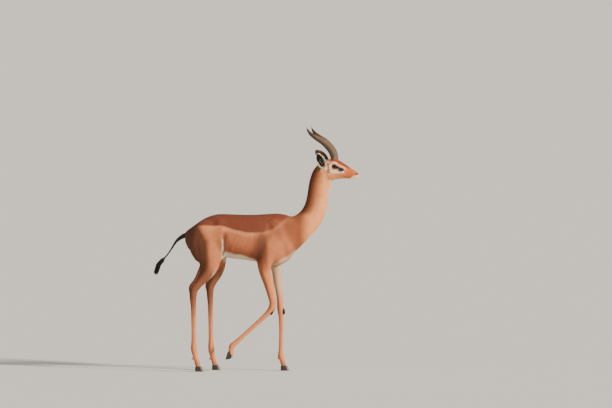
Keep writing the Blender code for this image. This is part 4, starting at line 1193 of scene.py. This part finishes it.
def uv_finder(mesh):
    """A function that gives a place on an unwrap of the skin's own shape for any point near it."""
    proxy = link("proxy", mesh.copy())
    modifier = proxy.modifiers.new("coarsen", "DECIMATE")
    modifier.ratio = UNWRAP_RATIO
    evaluated(proxy)
    bpy.context.view_layer.objects.active = proxy
    for item in bpy.context.selected_objects:
        item.select_set(False)
    proxy.select_set(True)
    bpy.ops.object.mode_set(mode="EDIT")
    bpy.ops.mesh.select_all(action="SELECT")
    bpy.ops.mesh.quads_convert_to_tris()
    bpy.ops.uv.smart_project(angle_limit=math.radians(66), island_margin=0.004)
    bpy.ops.object.mode_set(mode="OBJECT")
    data = proxy.data
    vertices = [v.co.copy() for v in data.vertices]
    polygons = [tuple(p.vertices) for p in data.polygons]
    uvs = [[data.uv_layers.active.data[n].uv.copy() for n in p.loop_indices] for p in data.polygons]
    tree = BVHTree.FromPolygons(vertices, polygons)
    bpy.data.objects.remove(proxy, do_unlink=True)

    def find(points):
        found = np.zeros((len(points), 2))
        for n, point in enumerate(points):
            place, _, face, _ = tree.find_nearest(Vector(point))
            corners = [vertices[k] for k in polygons[face]]
            a, b, c = corners[:3]
            normal = (b - a).cross(c - a)
            total = normal.length_squared or 1.0
            v = (place - a).cross(c - a).dot(normal) / total
            w = (b - a).cross(place - a).dot(normal) / total
            spots = uvs[face]
            found[n] = spots[0] * (1 - v - w) + spots[1] * v + spots[2] * w
        return np.clip(found, 0.002, 0.998)

    return find


# Borders between the pieces of coat
REAR_FRONT = -0.11
NECK_REAR = 0.235
HIND_FRONT = -0.21
LEG_TOP = 0.66
COAT_END = 0.034
HEAD_SEAM = 1.227


def on_trunk(p):
    return p[:, 2] > LEG_TOP


def on_leg(p):
    return (p[:, 2] <= LEG_TOP) & (p[:, 2] > COAT_END)


# Coat pieces: slot, number of tufts, and a test for where each grows
COAT_PIECES = {
    "coat_rear": ("coat_body", 48000, lambda p: on_trunk(p) & (p[:, 0] < REAR_FRONT)),
    "coat_trunk": ("coat_body", 48000,
                   lambda p: on_trunk(p) & (p[:, 0] < NECK_REAR) & (p[:, 0] >= REAR_FRONT)),
    "coat_neck": ("coat_neck", 46000, lambda p: (p[:, 0] >= NECK_REAR) & (up_the_neck(p) < HEAD_SEAM)),
    "coat_head": ("coat_head", 48000, lambda p: (p[:, 0] >= NECK_REAR) & (up_the_neck(p) >= HEAD_SEAM)),
    "coat_forelegs": ("coat_leg", 38000, lambda p: on_leg(p) & (p[:, 0] >= HIND_FRONT)),
    "coat_hindlegs": ("coat_leg", 46000, lambda p: on_leg(p) & (p[:, 0] < HIND_FRONT)),
}


def coat_length(points):
    """Length of the coat at each place: shortest on face and feet, longest below the trunk."""
    x, _, z = points.T
    belly = edge_height(BELLY_EDGE, x)
    under = (1 - smooth_step(z, belly, belly + 0.02)) * smooth_step(z, 0.64, 0.68)
    length = 0.0112 + 0.0050 * under * (1 - smooth_step(x, 0.2, 0.3))
    leg = 1 - smooth_step(z, 0.45, 0.68)
    length = length * (1 - leg) + 0.0075 * leg
    head = smooth_step(up_the_neck(points), 1.20, 1.26) * smooth_step(x, 0.37, 0.40)
    face = smooth_step(unturned(points)[:, 0], 0.46, 0.56)
    return length * (1 - head) + (0.0085 - 0.0045 * face) * head


def away_from_bare(points):
    """Nothing grows over the eyes, in the nostrils or mouth, or under horns."""
    local = unturned(points)
    right = np.stack([local[:, 0], -np.abs(local[:, 1]), local[:, 2]], axis=1)
    centre, _, front, up = eye_frame(-1)
    offset = right - centre
    clear = (opening(offset @ front, offset @ up) > 1.25) | (np.linalg.norm(offset, axis=1) > 0.03)
    clear &= distance_to_path(right, NOSTRIL) > 0.005
    clear &= distance_to_path(right, [(px, py, MOUTH_LEVEL) for px, py in MOUTH]) > 0.003
    horn = [(x, -y, z) for x, z, y, _ in HORN[:2]]
    clear &= distance_to_path(right, horn) > 0.0165
    return clear.astype(float)


def laid_tips(tree, roots, facing, ways, lengths, heights):
    """Where each tuft ends when it follows the skin's own rise and fall."""
    tips = roots + flattened(ways, facing) * lengths[:, None]
    for n, height in enumerate(heights):
        place, normal, _, _ = tree.find_nearest(Vector(tips[n]))
        tips[n] = place + normal * height
    return tips


def make_coat(skin, material):
    """Grows the six pieces of coat, each with its own seed."""
    find_uv = uv_finder(skin.data)
    tree = BVHTree.FromObject(skin, bpy.context.evaluated_depsgraph_get())
    for number, (name, (slot, count, inside)) in enumerate(COAT_PIECES.items()):
        roots, facing, draw = scattered(
            skin.data, count, lambda p: inside(p) * away_from_bare(p), SEED + number)
        ways = lie_of_coat(roots) + draw.normal(0, 0.07, (count, 3))
        length = coat_length(roots) * draw.uniform(0.75, 1.2, count)
        width = np.clip(length * 0.25, 0.0010, 0.0030) * draw.uniform(0.8, 1.3, count)
        height = draw.uniform(0.00018, 0.00045, count) * np.clip(length / 0.010, 0.6, 1.3)
        tips = laid_tips(tree, roots, facing, ways, length, height)
        colours = coat_colour(roots) * draw.uniform(0.86, 1.14, count)[:, None]
        coat = coat_mesh(name, roots, facing, tips, width, colours, find_uv(roots))
        add_piece(name, coat, material, slot)


def new_material(name, roughness):
    material = bpy.data.materials.new(name)
    material.use_nodes = True
    shader = material.node_tree.nodes["Principled BSDF"]
    shader.inputs["Roughness"].default_value = roughness
    return material, material.node_tree, shader


def add_node(tree, kind, **settings):
    """A node whose inputs, or else its own settings, are set by name."""
    node = tree.nodes.new(kind)
    for key, value in settings.items():
        if key in node.inputs:
            node.inputs[key].default_value = value
        else:
            setattr(node, key, value)
    return node


def noise(tree, scale, stretch=(1, 1, 1), detail=3.0):
    """Noise over the object's own places, stretched by scales along its axes."""
    place = add_node(tree, "ShaderNodeTexCoord")
    mapping = add_node(tree, "ShaderNodeMapping")
    mapping.inputs["Scale"].default_value = stretch
    texture = add_node(tree, "ShaderNodeTexNoise", Scale=scale, Detail=detail, Roughness=0.6)
    tree.links.new(place.outputs["Object"], mapping.inputs["Vector"])
    tree.links.new(mapping.outputs["Vector"], texture.inputs["Vector"])
    return texture.outputs["Fac"]


def ranged(tree, value, low, high):
    """A value from 0 to 1 laid out between two others."""
    node = add_node(tree, "ShaderNodeMapRange")
    node.inputs["To Min"].default_value = low
    node.inputs["To Max"].default_value = high
    tree.links.new(value, node.inputs["Value"])
    return node.outputs["Result"]


def painted(name, roughness, fine_scale, stretch, strength, depth, sheen=0.0, tint=0.18, shine=0.15):
    """A material that shows the coat colours, varied by fine noise, with a bump from it."""
    material, tree, shader = new_material(name, roughness)
    colour = add_node(tree, "ShaderNodeAttribute", attribute_name="coat")
    fine = noise(tree, fine_scale, stretch)
    broad = noise(tree, 26, (1, 1, 1), 4.0)
    product = add_node(tree, "ShaderNodeMath", operation="MULTIPLY")
    tree.links.new(ranged(tree, fine, 1 - tint, 1 + tint), product.inputs[0])
    tree.links.new(ranged(tree, broad, 0.88, 1.10), product.inputs[1])
    scaled = add_node(tree, "ShaderNodeVectorMath", operation="SCALE")
    tree.links.new(colour.outputs["Color"], scaled.inputs[0])
    tree.links.new(product.outputs["Value"], scaled.inputs["Scale"])
    tree.links.new(scaled.outputs["Vector"], shader.inputs["Base Color"])
    bump = add_node(tree, "ShaderNodeBump", Strength=strength, Distance=depth)
    tree.links.new(fine, bump.inputs["Height"])
    tree.links.new(bump.outputs["Normal"], shader.inputs["Normal"])
    shader.inputs["Sheen Weight"].default_value = sheen
    shader.inputs["Sheen Roughness"].default_value = 0.5
    shader.inputs["Specular IOR Level"].default_value = shine
    return material


def hoof_finish():
    """Dark horn with fine level bands."""
    material, tree, shader = new_material("hoof_finish", 0.38)
    bands = noise(tree, 180, (1, 1, 6))
    ramp = add_node(tree, "ShaderNodeValToRGB")
    ramp.color_ramp.elements[0].color = (*(linear("hoof") * 0.6), 1)
    ramp.color_ramp.elements[1].color = (*(linear("hoof") * 2.2), 1)
    tree.links.new(bands, ramp.inputs["Fac"])
    tree.links.new(ramp.outputs["Color"], shader.inputs["Base Color"])
    bump = add_node(tree, "ShaderNodeBump", Strength=0.4, Distance=0.0004)
    tree.links.new(bands, bump.inputs["Height"])
    tree.links.new(bump.outputs["Normal"], shader.inputs["Normal"])
    return material


def make_horn(side, label, material):
    """A horn with bold rings to three quarters of its length, fine grooves and a smooth tip."""
    rows = [(x, side * y, z, radius, radius) for x, z, y, radius in HORN]
    rows = smooth_rows(rows, HORN_STEPS)
    centres = rows[:, :3]
    ways = np.gradient(centres, axis=0)
    points = []
    tones = []
    for k, (centre, way, row) in enumerate(zip(centres, ways, rows)):
        way = way / np.linalg.norm(way)
        across = np.array([0.0, 1.0, 0.0]) - way * way[1]
        across /= np.linalg.norm(across)
        fore = np.cross(across, way)
        along = k / (HORN_STEPS - 1)
        narrow = 1 - 0.45 * smooth_step(along, 0.90, 1.0)
        fade = 1 - smooth_step(along, HORN_RINGED - 0.14, HORN_RINGED + 0.04)
        for n in range(HORN_SIDES):
            angle = 2 * math.pi * n / HORN_SIDES
            slant = 0.012 * math.sin(angle) + 0.003 * math.sin(3 * angle + k * 0.05)
            phase = (along + slant) / HORN_RINGED * HORN_RINGS * (1 + 0.25 * along)
            ring = (0.5 + 0.5 * math.cos(2 * math.pi * phase)) ** 1.6
            front = 0.55 + 0.45 * math.sin(angle)
            groove = 0.012 * math.sin(angle * 17 + 2.0 * math.sin(along * 30)) * (0.4 + fade)
            radius = row[3] * narrow * (1 + 0.105 * ring * fade * front + groove * 0.7 - 0.02)
            points.append(centre + across * radius * HORN_NARROW * math.cos(angle)
                          + fore * radius * math.sin(angle))
            # Painted light: the front of the horn and the tops of its rings are lighter, as lit
            tones.append(0.05 + (0.25 + 0.60 * ring) * fade * front + 0.10 * front * (1 - fade))
    mesh = loft(np.array(points).reshape(HORN_STEPS, HORN_SIDES, 3))
    shade = np.clip(np.array(tones), 0, 1)[:, None]
    set_colours(mesh, linear("horn") * (1 - shade) * (0.55 + 0.45 * shade) + linear("horn_lit") * shade)
    turn_head(mesh)
    mesh.shade_smooth()
    add_piece(f"horn_shell_{label}", mesh, material, "horn", f"horn_{label}")


def ear_middle(root, way, facing, place):
    """The ear's bowed middle line."""
    return Vector(root) + way * (place * EAR_LENGTH) - facing * EAR_BOW * place * (1 - place) * 4


def make_ear(name, root, way, facing, material, hair_material):
    """A leaf-shaped ear with a curled cup, folds inside it and hair along its rim."""
    way = Vector(way).normalized()
    facing = Vector(facing)
    facing = (facing - way * facing.dot(way)).normalized()
    across = way.cross(facing)
    steps = 20
    places = np.linspace(0, 1, 60)
    curls = smooth_rows([(p, 0, 0, curl, half) for p, curl, half in EAR], 60)
    rings = []
    colours = []
    for place, row in zip(places, curls):
        curl, half = row[3], math.radians(row[4])
        middle = ear_middle(root, way, facing, place)
        thick = EAR_THICKNESS * (1 - EAR_THINNING * place)
        hub = middle + facing * (curl - EAR_BOW)
        ring = []
        inner = []
        for k in range(2 * steps + 1):
            share = (k - steps) / steps
            angle = half * share
            spoke = across * math.sin(angle) - facing * math.cos(angle)
            rim = (1 - abs(share) ** 4) ** 0.5 * 0.75 + 0.25
            fold = 0.0011 * math.cos(share * 3.2 * math.pi) * (1 - abs(share))
            fold *= math.sin(place * math.pi)
            ring.append(hub + spoke * (curl + 0.0004 * math.sin(place * 40 + k)))
            inner.append(hub + spoke * (curl - min(thick * rim + fold, curl * 0.5)))
        rings.append(ring + inner[::-1])
        for k in range(2 * steps + 1):
            edge = smooth_step(abs(k - steps) / steps, 0.80, 0.97)
            back = linear("ear_back") * (0.75 + 0.5 * place)
            back = back * (1 - smooth_step(place, 0.80, 1.0) * 0.7)
            rim = linear("ear_rim") * edge * (1 - 0.6 * smooth_step(place, 0.9, 1))
            colours.append(back * (1 - edge) + rim)
        for k in range(2 * steps, -1, -1):
            share = abs(k - steps) / steps
            edge = smooth_step(share, 0.50, 0.70)
            colours.append(linear("ear_dark") * (1 - edge) + linear("ear_rim") * edge)
    mesh = loft(rings)
    set_colours(mesh, np.array(colours))
    turn_head(mesh)
    mesh.shade_smooth()
    add_piece(name.replace("ear_", "ear_shell_"), mesh, material, "ear_skin", name)
    hair_in_ear(name, root, way, facing, across, curls, hair_material)


def hair_in_ear(name, root, way, facing, across, curls, material):
    """White rows of hair over the dark cup, and a fringe along both edges."""
    draw = np.random.default_rng(SEED + len(name))
    roots, normals, ways, lengths, colours = [], [], [], [], []

    def add(place, share, length, colour, outward):
        row = curls[min(int(place * 59), 59)]
        curl, half = row[3], math.radians(row[4])
        angle = half * share
        spoke = across * math.sin(angle) - facing * math.cos(angle)
        hub = ear_middle(root, way, facing, place) + facing * (curl - EAR_BOW)
        inward = -spoke
        roots.append(hub + spoke * (curl - EAR_THICKNESS * (1 - EAR_THINNING * place) * 0.9))
        normals.append(inward)
        tangent = (across * math.cos(angle) + facing * math.sin(angle)) * math.copysign(1, share)
        ways.append(way * 0.75 + tangent * outward + inward * 0.15)
        lengths.append(length)
        colours.append(linear(colour))

    for _ in range(RIM_HAIRS):
        place = draw.uniform(0.08, 0.93)
        share = draw.choice([-1, 1]) * draw.uniform(0.58, 0.99)
        add(place, share, draw.uniform(0.007, 0.014), "ear_rim", 0.5)
    for _ in range(CUP_HAIRS):
        place = draw.uniform(0.10, 0.45)
        band = draw.choice([-0.42, 0.0, 0.40])
        add(place, band + draw.normal(0, 0.035), draw.uniform(0.010, 0.020), "ear_rim", 0.25)
    for _ in range(DARK_EAR_HAIRS):
        place = draw.uniform(0.05, 0.9)
        share = draw.uniform(-0.9, 0.9)
        add(place, share, draw.uniform(0.005, 0.010), "ear_dark", 0.2)
    count = len(roots)
    hair = tufts_on_head(
        name + "_hair", roots, normals, ways,
        np.array(lengths), np.full(count, 0.0010), np.radians(draw.uniform(8, 24, count)),
        draw.normal(0, 0.0006, (count, 3)), np.array(colours), draw.normal(0, 0.12, count),
        draw.uniform(0.01, 0.99, (count, 2)))
    add_piece(name + "_hair", hair, material, "ear_skin")


def make_eye(side, label, material):
    """A dark eyeball with a soft horizontal pupil."""
    shape = bmesh.new()
    bmesh.ops.create_uvsphere(shape, u_segments=64, v_segments=40, radius=EYE_RADIUS)
    centre, axis, front, up = eye_frame(side)
    frame_axes = Matrix((Vector(front), Vector(up), Vector(axis))).transposed().to_4x4()
    bmesh.ops.transform(shape, matrix=Matrix.Translation(centre) @ frame_axes, verts=shape.verts)
    mesh = to_mesh(shape)
    points = points_of(mesh)
    offset = (points - centre) / EYE_RADIUS
    across, rise = offset @ front, offset @ up
    flat = np.hypot(across, rise)
    ahead = (offset @ axis) > 0
    colours = np.tile(EYEBALL, (len(points), 1))
    iris = (1 - smooth_step(flat, 0.60, 0.70)) * ahead
    colours += (IRIS - colours) * iris[:, None]
    pupil = (1 - smooth_step(np.hypot(across / 0.42, rise / 0.20), 0.85, 1.1)) * ahead
    colours += (PUPIL - colours) * pupil[:, None]
    bulge = 0.0009 * (1 - smooth_step(flat, 0.3, 0.75)) * ahead
    set_points(mesh, points + axis * bulge[:, None])
    set_colours(mesh, colours)
    turn_head(mesh)
    mesh.shade_smooth()
    add_piece(f"eyeball_{label}", mesh, material, "eye", f"eye_{label}")


def make_lashes(material):
    """A fan of lashes on each upper lid."""
    roots, normals, ways, lengths = [], [], [], []
    for side in (-1, 1):
        centre, axis, front, up = eye_frame(side)
        for k in range(LASHES):
            angle = math.radians(18 + 144 * k / (LASHES - 1))
            across = math.cos(angle) * EYE_LONG * 1.04
            rise = math.sin(angle) * EYE_HIGH_UP * 1.06
            depth = math.sqrt(max((EYE_RADIUS + LID_OVER) ** 2 - across**2 - rise**2, 0))
            roots.append(centre + front * across + up * rise + axis * (depth + 0.0004))
            outward = axis * 0.95 + up * 0.15 + front * (across / EYE_LONG) * 0.5
            normals.append(up)
            ways.append(outward)
            lengths.append(0.011 + 0.003 * math.sin(angle))
    count = len(roots)
    draw = np.random.default_rng(SEED)
    lashes = tufts_on_head(
        "lashes", roots, normals, ways, np.array(lengths),
        np.full(count, 0.0005), np.radians(np.full(count, -8.0)), draw.normal(0, 0.0004, (count, 3)),
        np.tile(linear("dark"), (count, 1)), draw.normal(0, 0.08, count),
        draw.uniform(0.01, 0.99, (count, 2)))
    add_piece("lashes", lashes, material, "tail_hair")


def claw_rings(levels, sides):
    """Pointed rings for levels given by height, scale and shift."""
    rings = []
    for level, scale, shift in levels:
        ring = []
        for k in range(sides):
            angle = 2 * math.pi * k / sides
            pointed = 1 - 0.38 * max(0, math.cos(angle)) ** 2
            x = math.cos(angle) * CLAW_LENGTH / 2 * scale + shift
            y = math.sin(angle) * CLAW_WIDTH / 2 * scale * pointed
            ring.append((x, y, level))
        rings.append(ring)
    return rings


def make_hooves(material):
    """Two claws to each foot, with fine growth rings and a soft coronet."""
    levels = [(0, 0.93, 0), (0.0012, 0.975, 0), (0.003, 1.0, 0)]
    for k in range(1, 22):
        share = k / 21
        growth = 0.008 * math.sin(share * 34)
        scale = 1.0 - 0.22 * share - 0.20 * smooth_step(share, 0.72, 1.0) + growth * (1 - share)
        levels.append((0.003 + (CLAW_HEIGHT - 0.003) * share, scale, -CORONET_BACK * share))
    for leg, (x, y, z, pitch) in FEET.items():
        stance = Matrix.Translation((x, y, z)) @ Matrix.Rotation(math.radians(pitch), 4, "Y")
        for side, label in ((-1, "a"), (1, "b")):
            mesh = loft(claw_rings(levels, 36))
            mesh.transform(stance @ Matrix.Translation((0, side * CLAW_SPREAD, 0)))
            mesh.shade_smooth()
            mesh.set_sharp_from_angle(angle=math.radians(50))
            add_piece(f"claw_{leg}_{label}", mesh, material, "hoof", f"hoof_{leg}_{label}")


def make_tail(material):
    """The thin tail, its short black hair and the long tuft at its end."""
    mesh = tube(TAIL, 140, 20)
    set_colours(mesh, np.tile(linear("tail"), (len(mesh.vertices), 1)))
    mesh.shade_smooth()
    add_piece("tail_core", mesh, material, "tail_hair", "tail")
    draw = np.random.default_rng(SEED)
    route = smooth_rows(TAIL, TAIL_STEPS)
    steps = np.gradient(route[:, :3], axis=0)
    steps /= np.linalg.norm(steps, axis=1)[:, None]
    at = np.concatenate([draw.integers(12, 250, SHORT_TAIL_HAIRS),
                         draw.integers(212, 290, LONG_TAIL_HAIRS)])
    count = len(at)
    short = np.arange(count) < SHORT_TAIL_HAIRS
    turn = draw.uniform(0, 2 * math.pi, count)
    way = steps[at]
    side = np.cross(way, [0.0, 1.0, 0.0])
    side /= np.linalg.norm(side, axis=1)[:, None]
    out = side * np.cos(turn)[:, None] + np.array([0.0, 1.0, 0.0]) * np.sin(turn)[:, None]
    radius = np.where(short, route[at, 3] * 0.95, route[at, 3] * 0.5)
    roots = route[at, :3] + out * radius[:, None]
    lengths = np.where(short, draw.uniform(0.006, 0.010, count),
                       TUFT_LENGTH * draw.uniform(0.55, 0.98, count))
    lifts = np.where(short, draw.uniform(0.01, 0.06, count), draw.uniform(0.05, 0.48, count))
    bends = draw.normal(0, 0.0012, (count, 3))
    bends[~short] += [-0.003, 0, -0.007]
    widths = np.where(short, 0.0014, 0.0017)
    colours = np.tile(linear("tail"), (count, 1)) * draw.uniform(0.6, 1.5, count)[:, None]
    hair = tuft_mesh("tail_tuft", roots, out, way, lengths, widths, lifts, bends, colours,
                     draw.normal(0, 0.10, count),
                     np.stack([at / TAIL_STEPS, turn / 6.3], axis=1) * 0.98 + 0.01)
    add_piece("tail_tuft", hair, material, "tail_hair")


def make_brushes(material):
    """Long black hair over each knee."""
    for name, (middle, facing, hang, height) in BRUSHES.items():
        draw = np.random.default_rng(SEED + len(name))
        facing = np.array(facing) / np.linalg.norm(facing)
        hang = np.array(hang) / np.linalg.norm(hang)
        count = BRUSH_HAIRS
        spread = draw.uniform(-1, 1, count)
        level = draw.uniform(-1, 1, count)
        out = facing + np.array([0, 1.0, 0]) * spread[:, None] * 0.9
        out /= np.linalg.norm(out, axis=1)[:, None]
        roots = (np.array(middle) + np.array([0, 0.013, 0]) * spread[:, None]
                 - hang * (0.010 * level)[:, None] + facing * (height - 0.006 * np.abs(spread))[:, None])
        ways = hang + facing * 0.25 + np.array([0, 1.0, 0]) * spread[:, None] * 0.25
        colours = np.tile(linear("dark"), (count, 1)) * draw.uniform(0.6, 1.6, count)[:, None]
        label = name.replace("knee_brush", "knee_hair")
        hair = tuft_mesh(
            label, roots, out, ways,
            BRUSH_LENGTH * draw.uniform(0.45, 0.95, count), np.full(count, 0.0013),
            draw.uniform(0.15, 0.55, count), draw.normal(0, 0.0008, (count, 3)), colours,
            draw.normal(0, 0.15, count), draw.uniform(0.01, 0.99, (count, 2)))
        add_piece(label, hair, material, "knee_hair", name)


def make_camera():
    data = bpy.data.cameras.new("camera")
    data.sensor_width = SENSOR
    data.lens = SENSOR * CAMERA_DISTANCE / FRAME_WIDTH
    data.clip_start = 0.5
    data.clip_end = 2 * FLOOR_RADIUS
    camera = link("camera", data)
    back = Vector((0, -math.cos(CAMERA_LIFT), math.sin(CAMERA_LIFT)))
    camera.location = CAMERA_TARGET + back * CAMERA_DISTANCE
    camera.rotation_euler = (-back).to_track_quat("-Z", "Y").to_euler()
    bpy.context.scene.camera = camera


def make_light():
    world = bpy.data.worlds.new("studio")
    world.use_nodes = True
    sky = world.node_tree.nodes["Background"]
    sky.inputs["Color"].default_value = SKY_COLOUR
    sky.inputs["Strength"].default_value = SKY_STRENGTH
    bpy.context.scene.world = world
    for name, (strength, size, toward, colour) in LAMPS.items():
        lamp = bpy.data.lights.new(name, "SUN")
        lamp.energy = strength
        lamp.angle = math.radians(size)
        lamp.color = colour
        item = link(name, lamp)
        item.rotation_euler = Vector(toward).to_track_quat("-Z", "Y").to_euler()


def make_floor():
    shape = bmesh.new()
    bmesh.ops.create_circle(shape, cap_ends=True, radius=FLOOR_RADIUS, segments=96)
    floor = link("floor", to_mesh(shape))
    floor.location.z = -0.0002
    material, _, shader = new_material("floor", 0.9)
    shader.inputs["Base Color"].default_value = FLOOR_COLOUR
    floor.data.materials.append(material)


make_camera()
make_light()
make_floor()

SKIN_MATERIAL = painted("hide", 0.75, 420, (1, 1, 0.35), 0.07, 0.0006, sheen=0.05, tint=0.10)
HAIR_MATERIAL = painted("hair", 0.72, 700, (1, 1, 1), 0.05, 0.0003, sheen=0.05, tint=0.10)
BLACK_HAIR = painted("black_hair", 0.50, 700, (1, 1, 1), 0.10, 0.0003, tint=0.25, shine=0.3)
HORN_MATERIAL = painted("horn_finish", 0.42, 260, (1, 1, 0.25), 0.5, 0.0006, tint=0.30, shine=0.35)
EYE_MATERIAL = painted("eye_finish", 0.04, 900, (1, 1, 1), 0.0, 0.0001, tint=0.10, shine=0.35)
EAR_MATERIAL = painted("ear_finish", 0.70, 500, (1, 1, 0.5), 0.3, 0.0005, sheen=0.1)

skin = make_skin()
set_colours(skin.data, coat_colour(points_of(skin.data)))
skin.data.materials.append(SKIN_MATERIAL)
LEG_NODES = [f"{leg}_{part}" for leg in LEGS for part in ("upper", "lower")]
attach(skin, "root")
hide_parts("torso", "neck", "head", *LEG_NODES)
make_coat(skin, HAIR_MATERIAL)
for side, label in ((-1, "right"), (1, "left")):
    make_horn(side, label, HORN_MATERIAL)
    make_eye(side, label, EYE_MATERIAL)
make_lashes(BLACK_HAIR)
for name, (root, way, facing) in EARS.items():
    make_ear(name, root, way, facing, EAR_MATERIAL, HAIR_MATERIAL)
make_hooves(hoof_finish())
make_tail(BLACK_HAIR)
make_brushes(BLACK_HAIR)
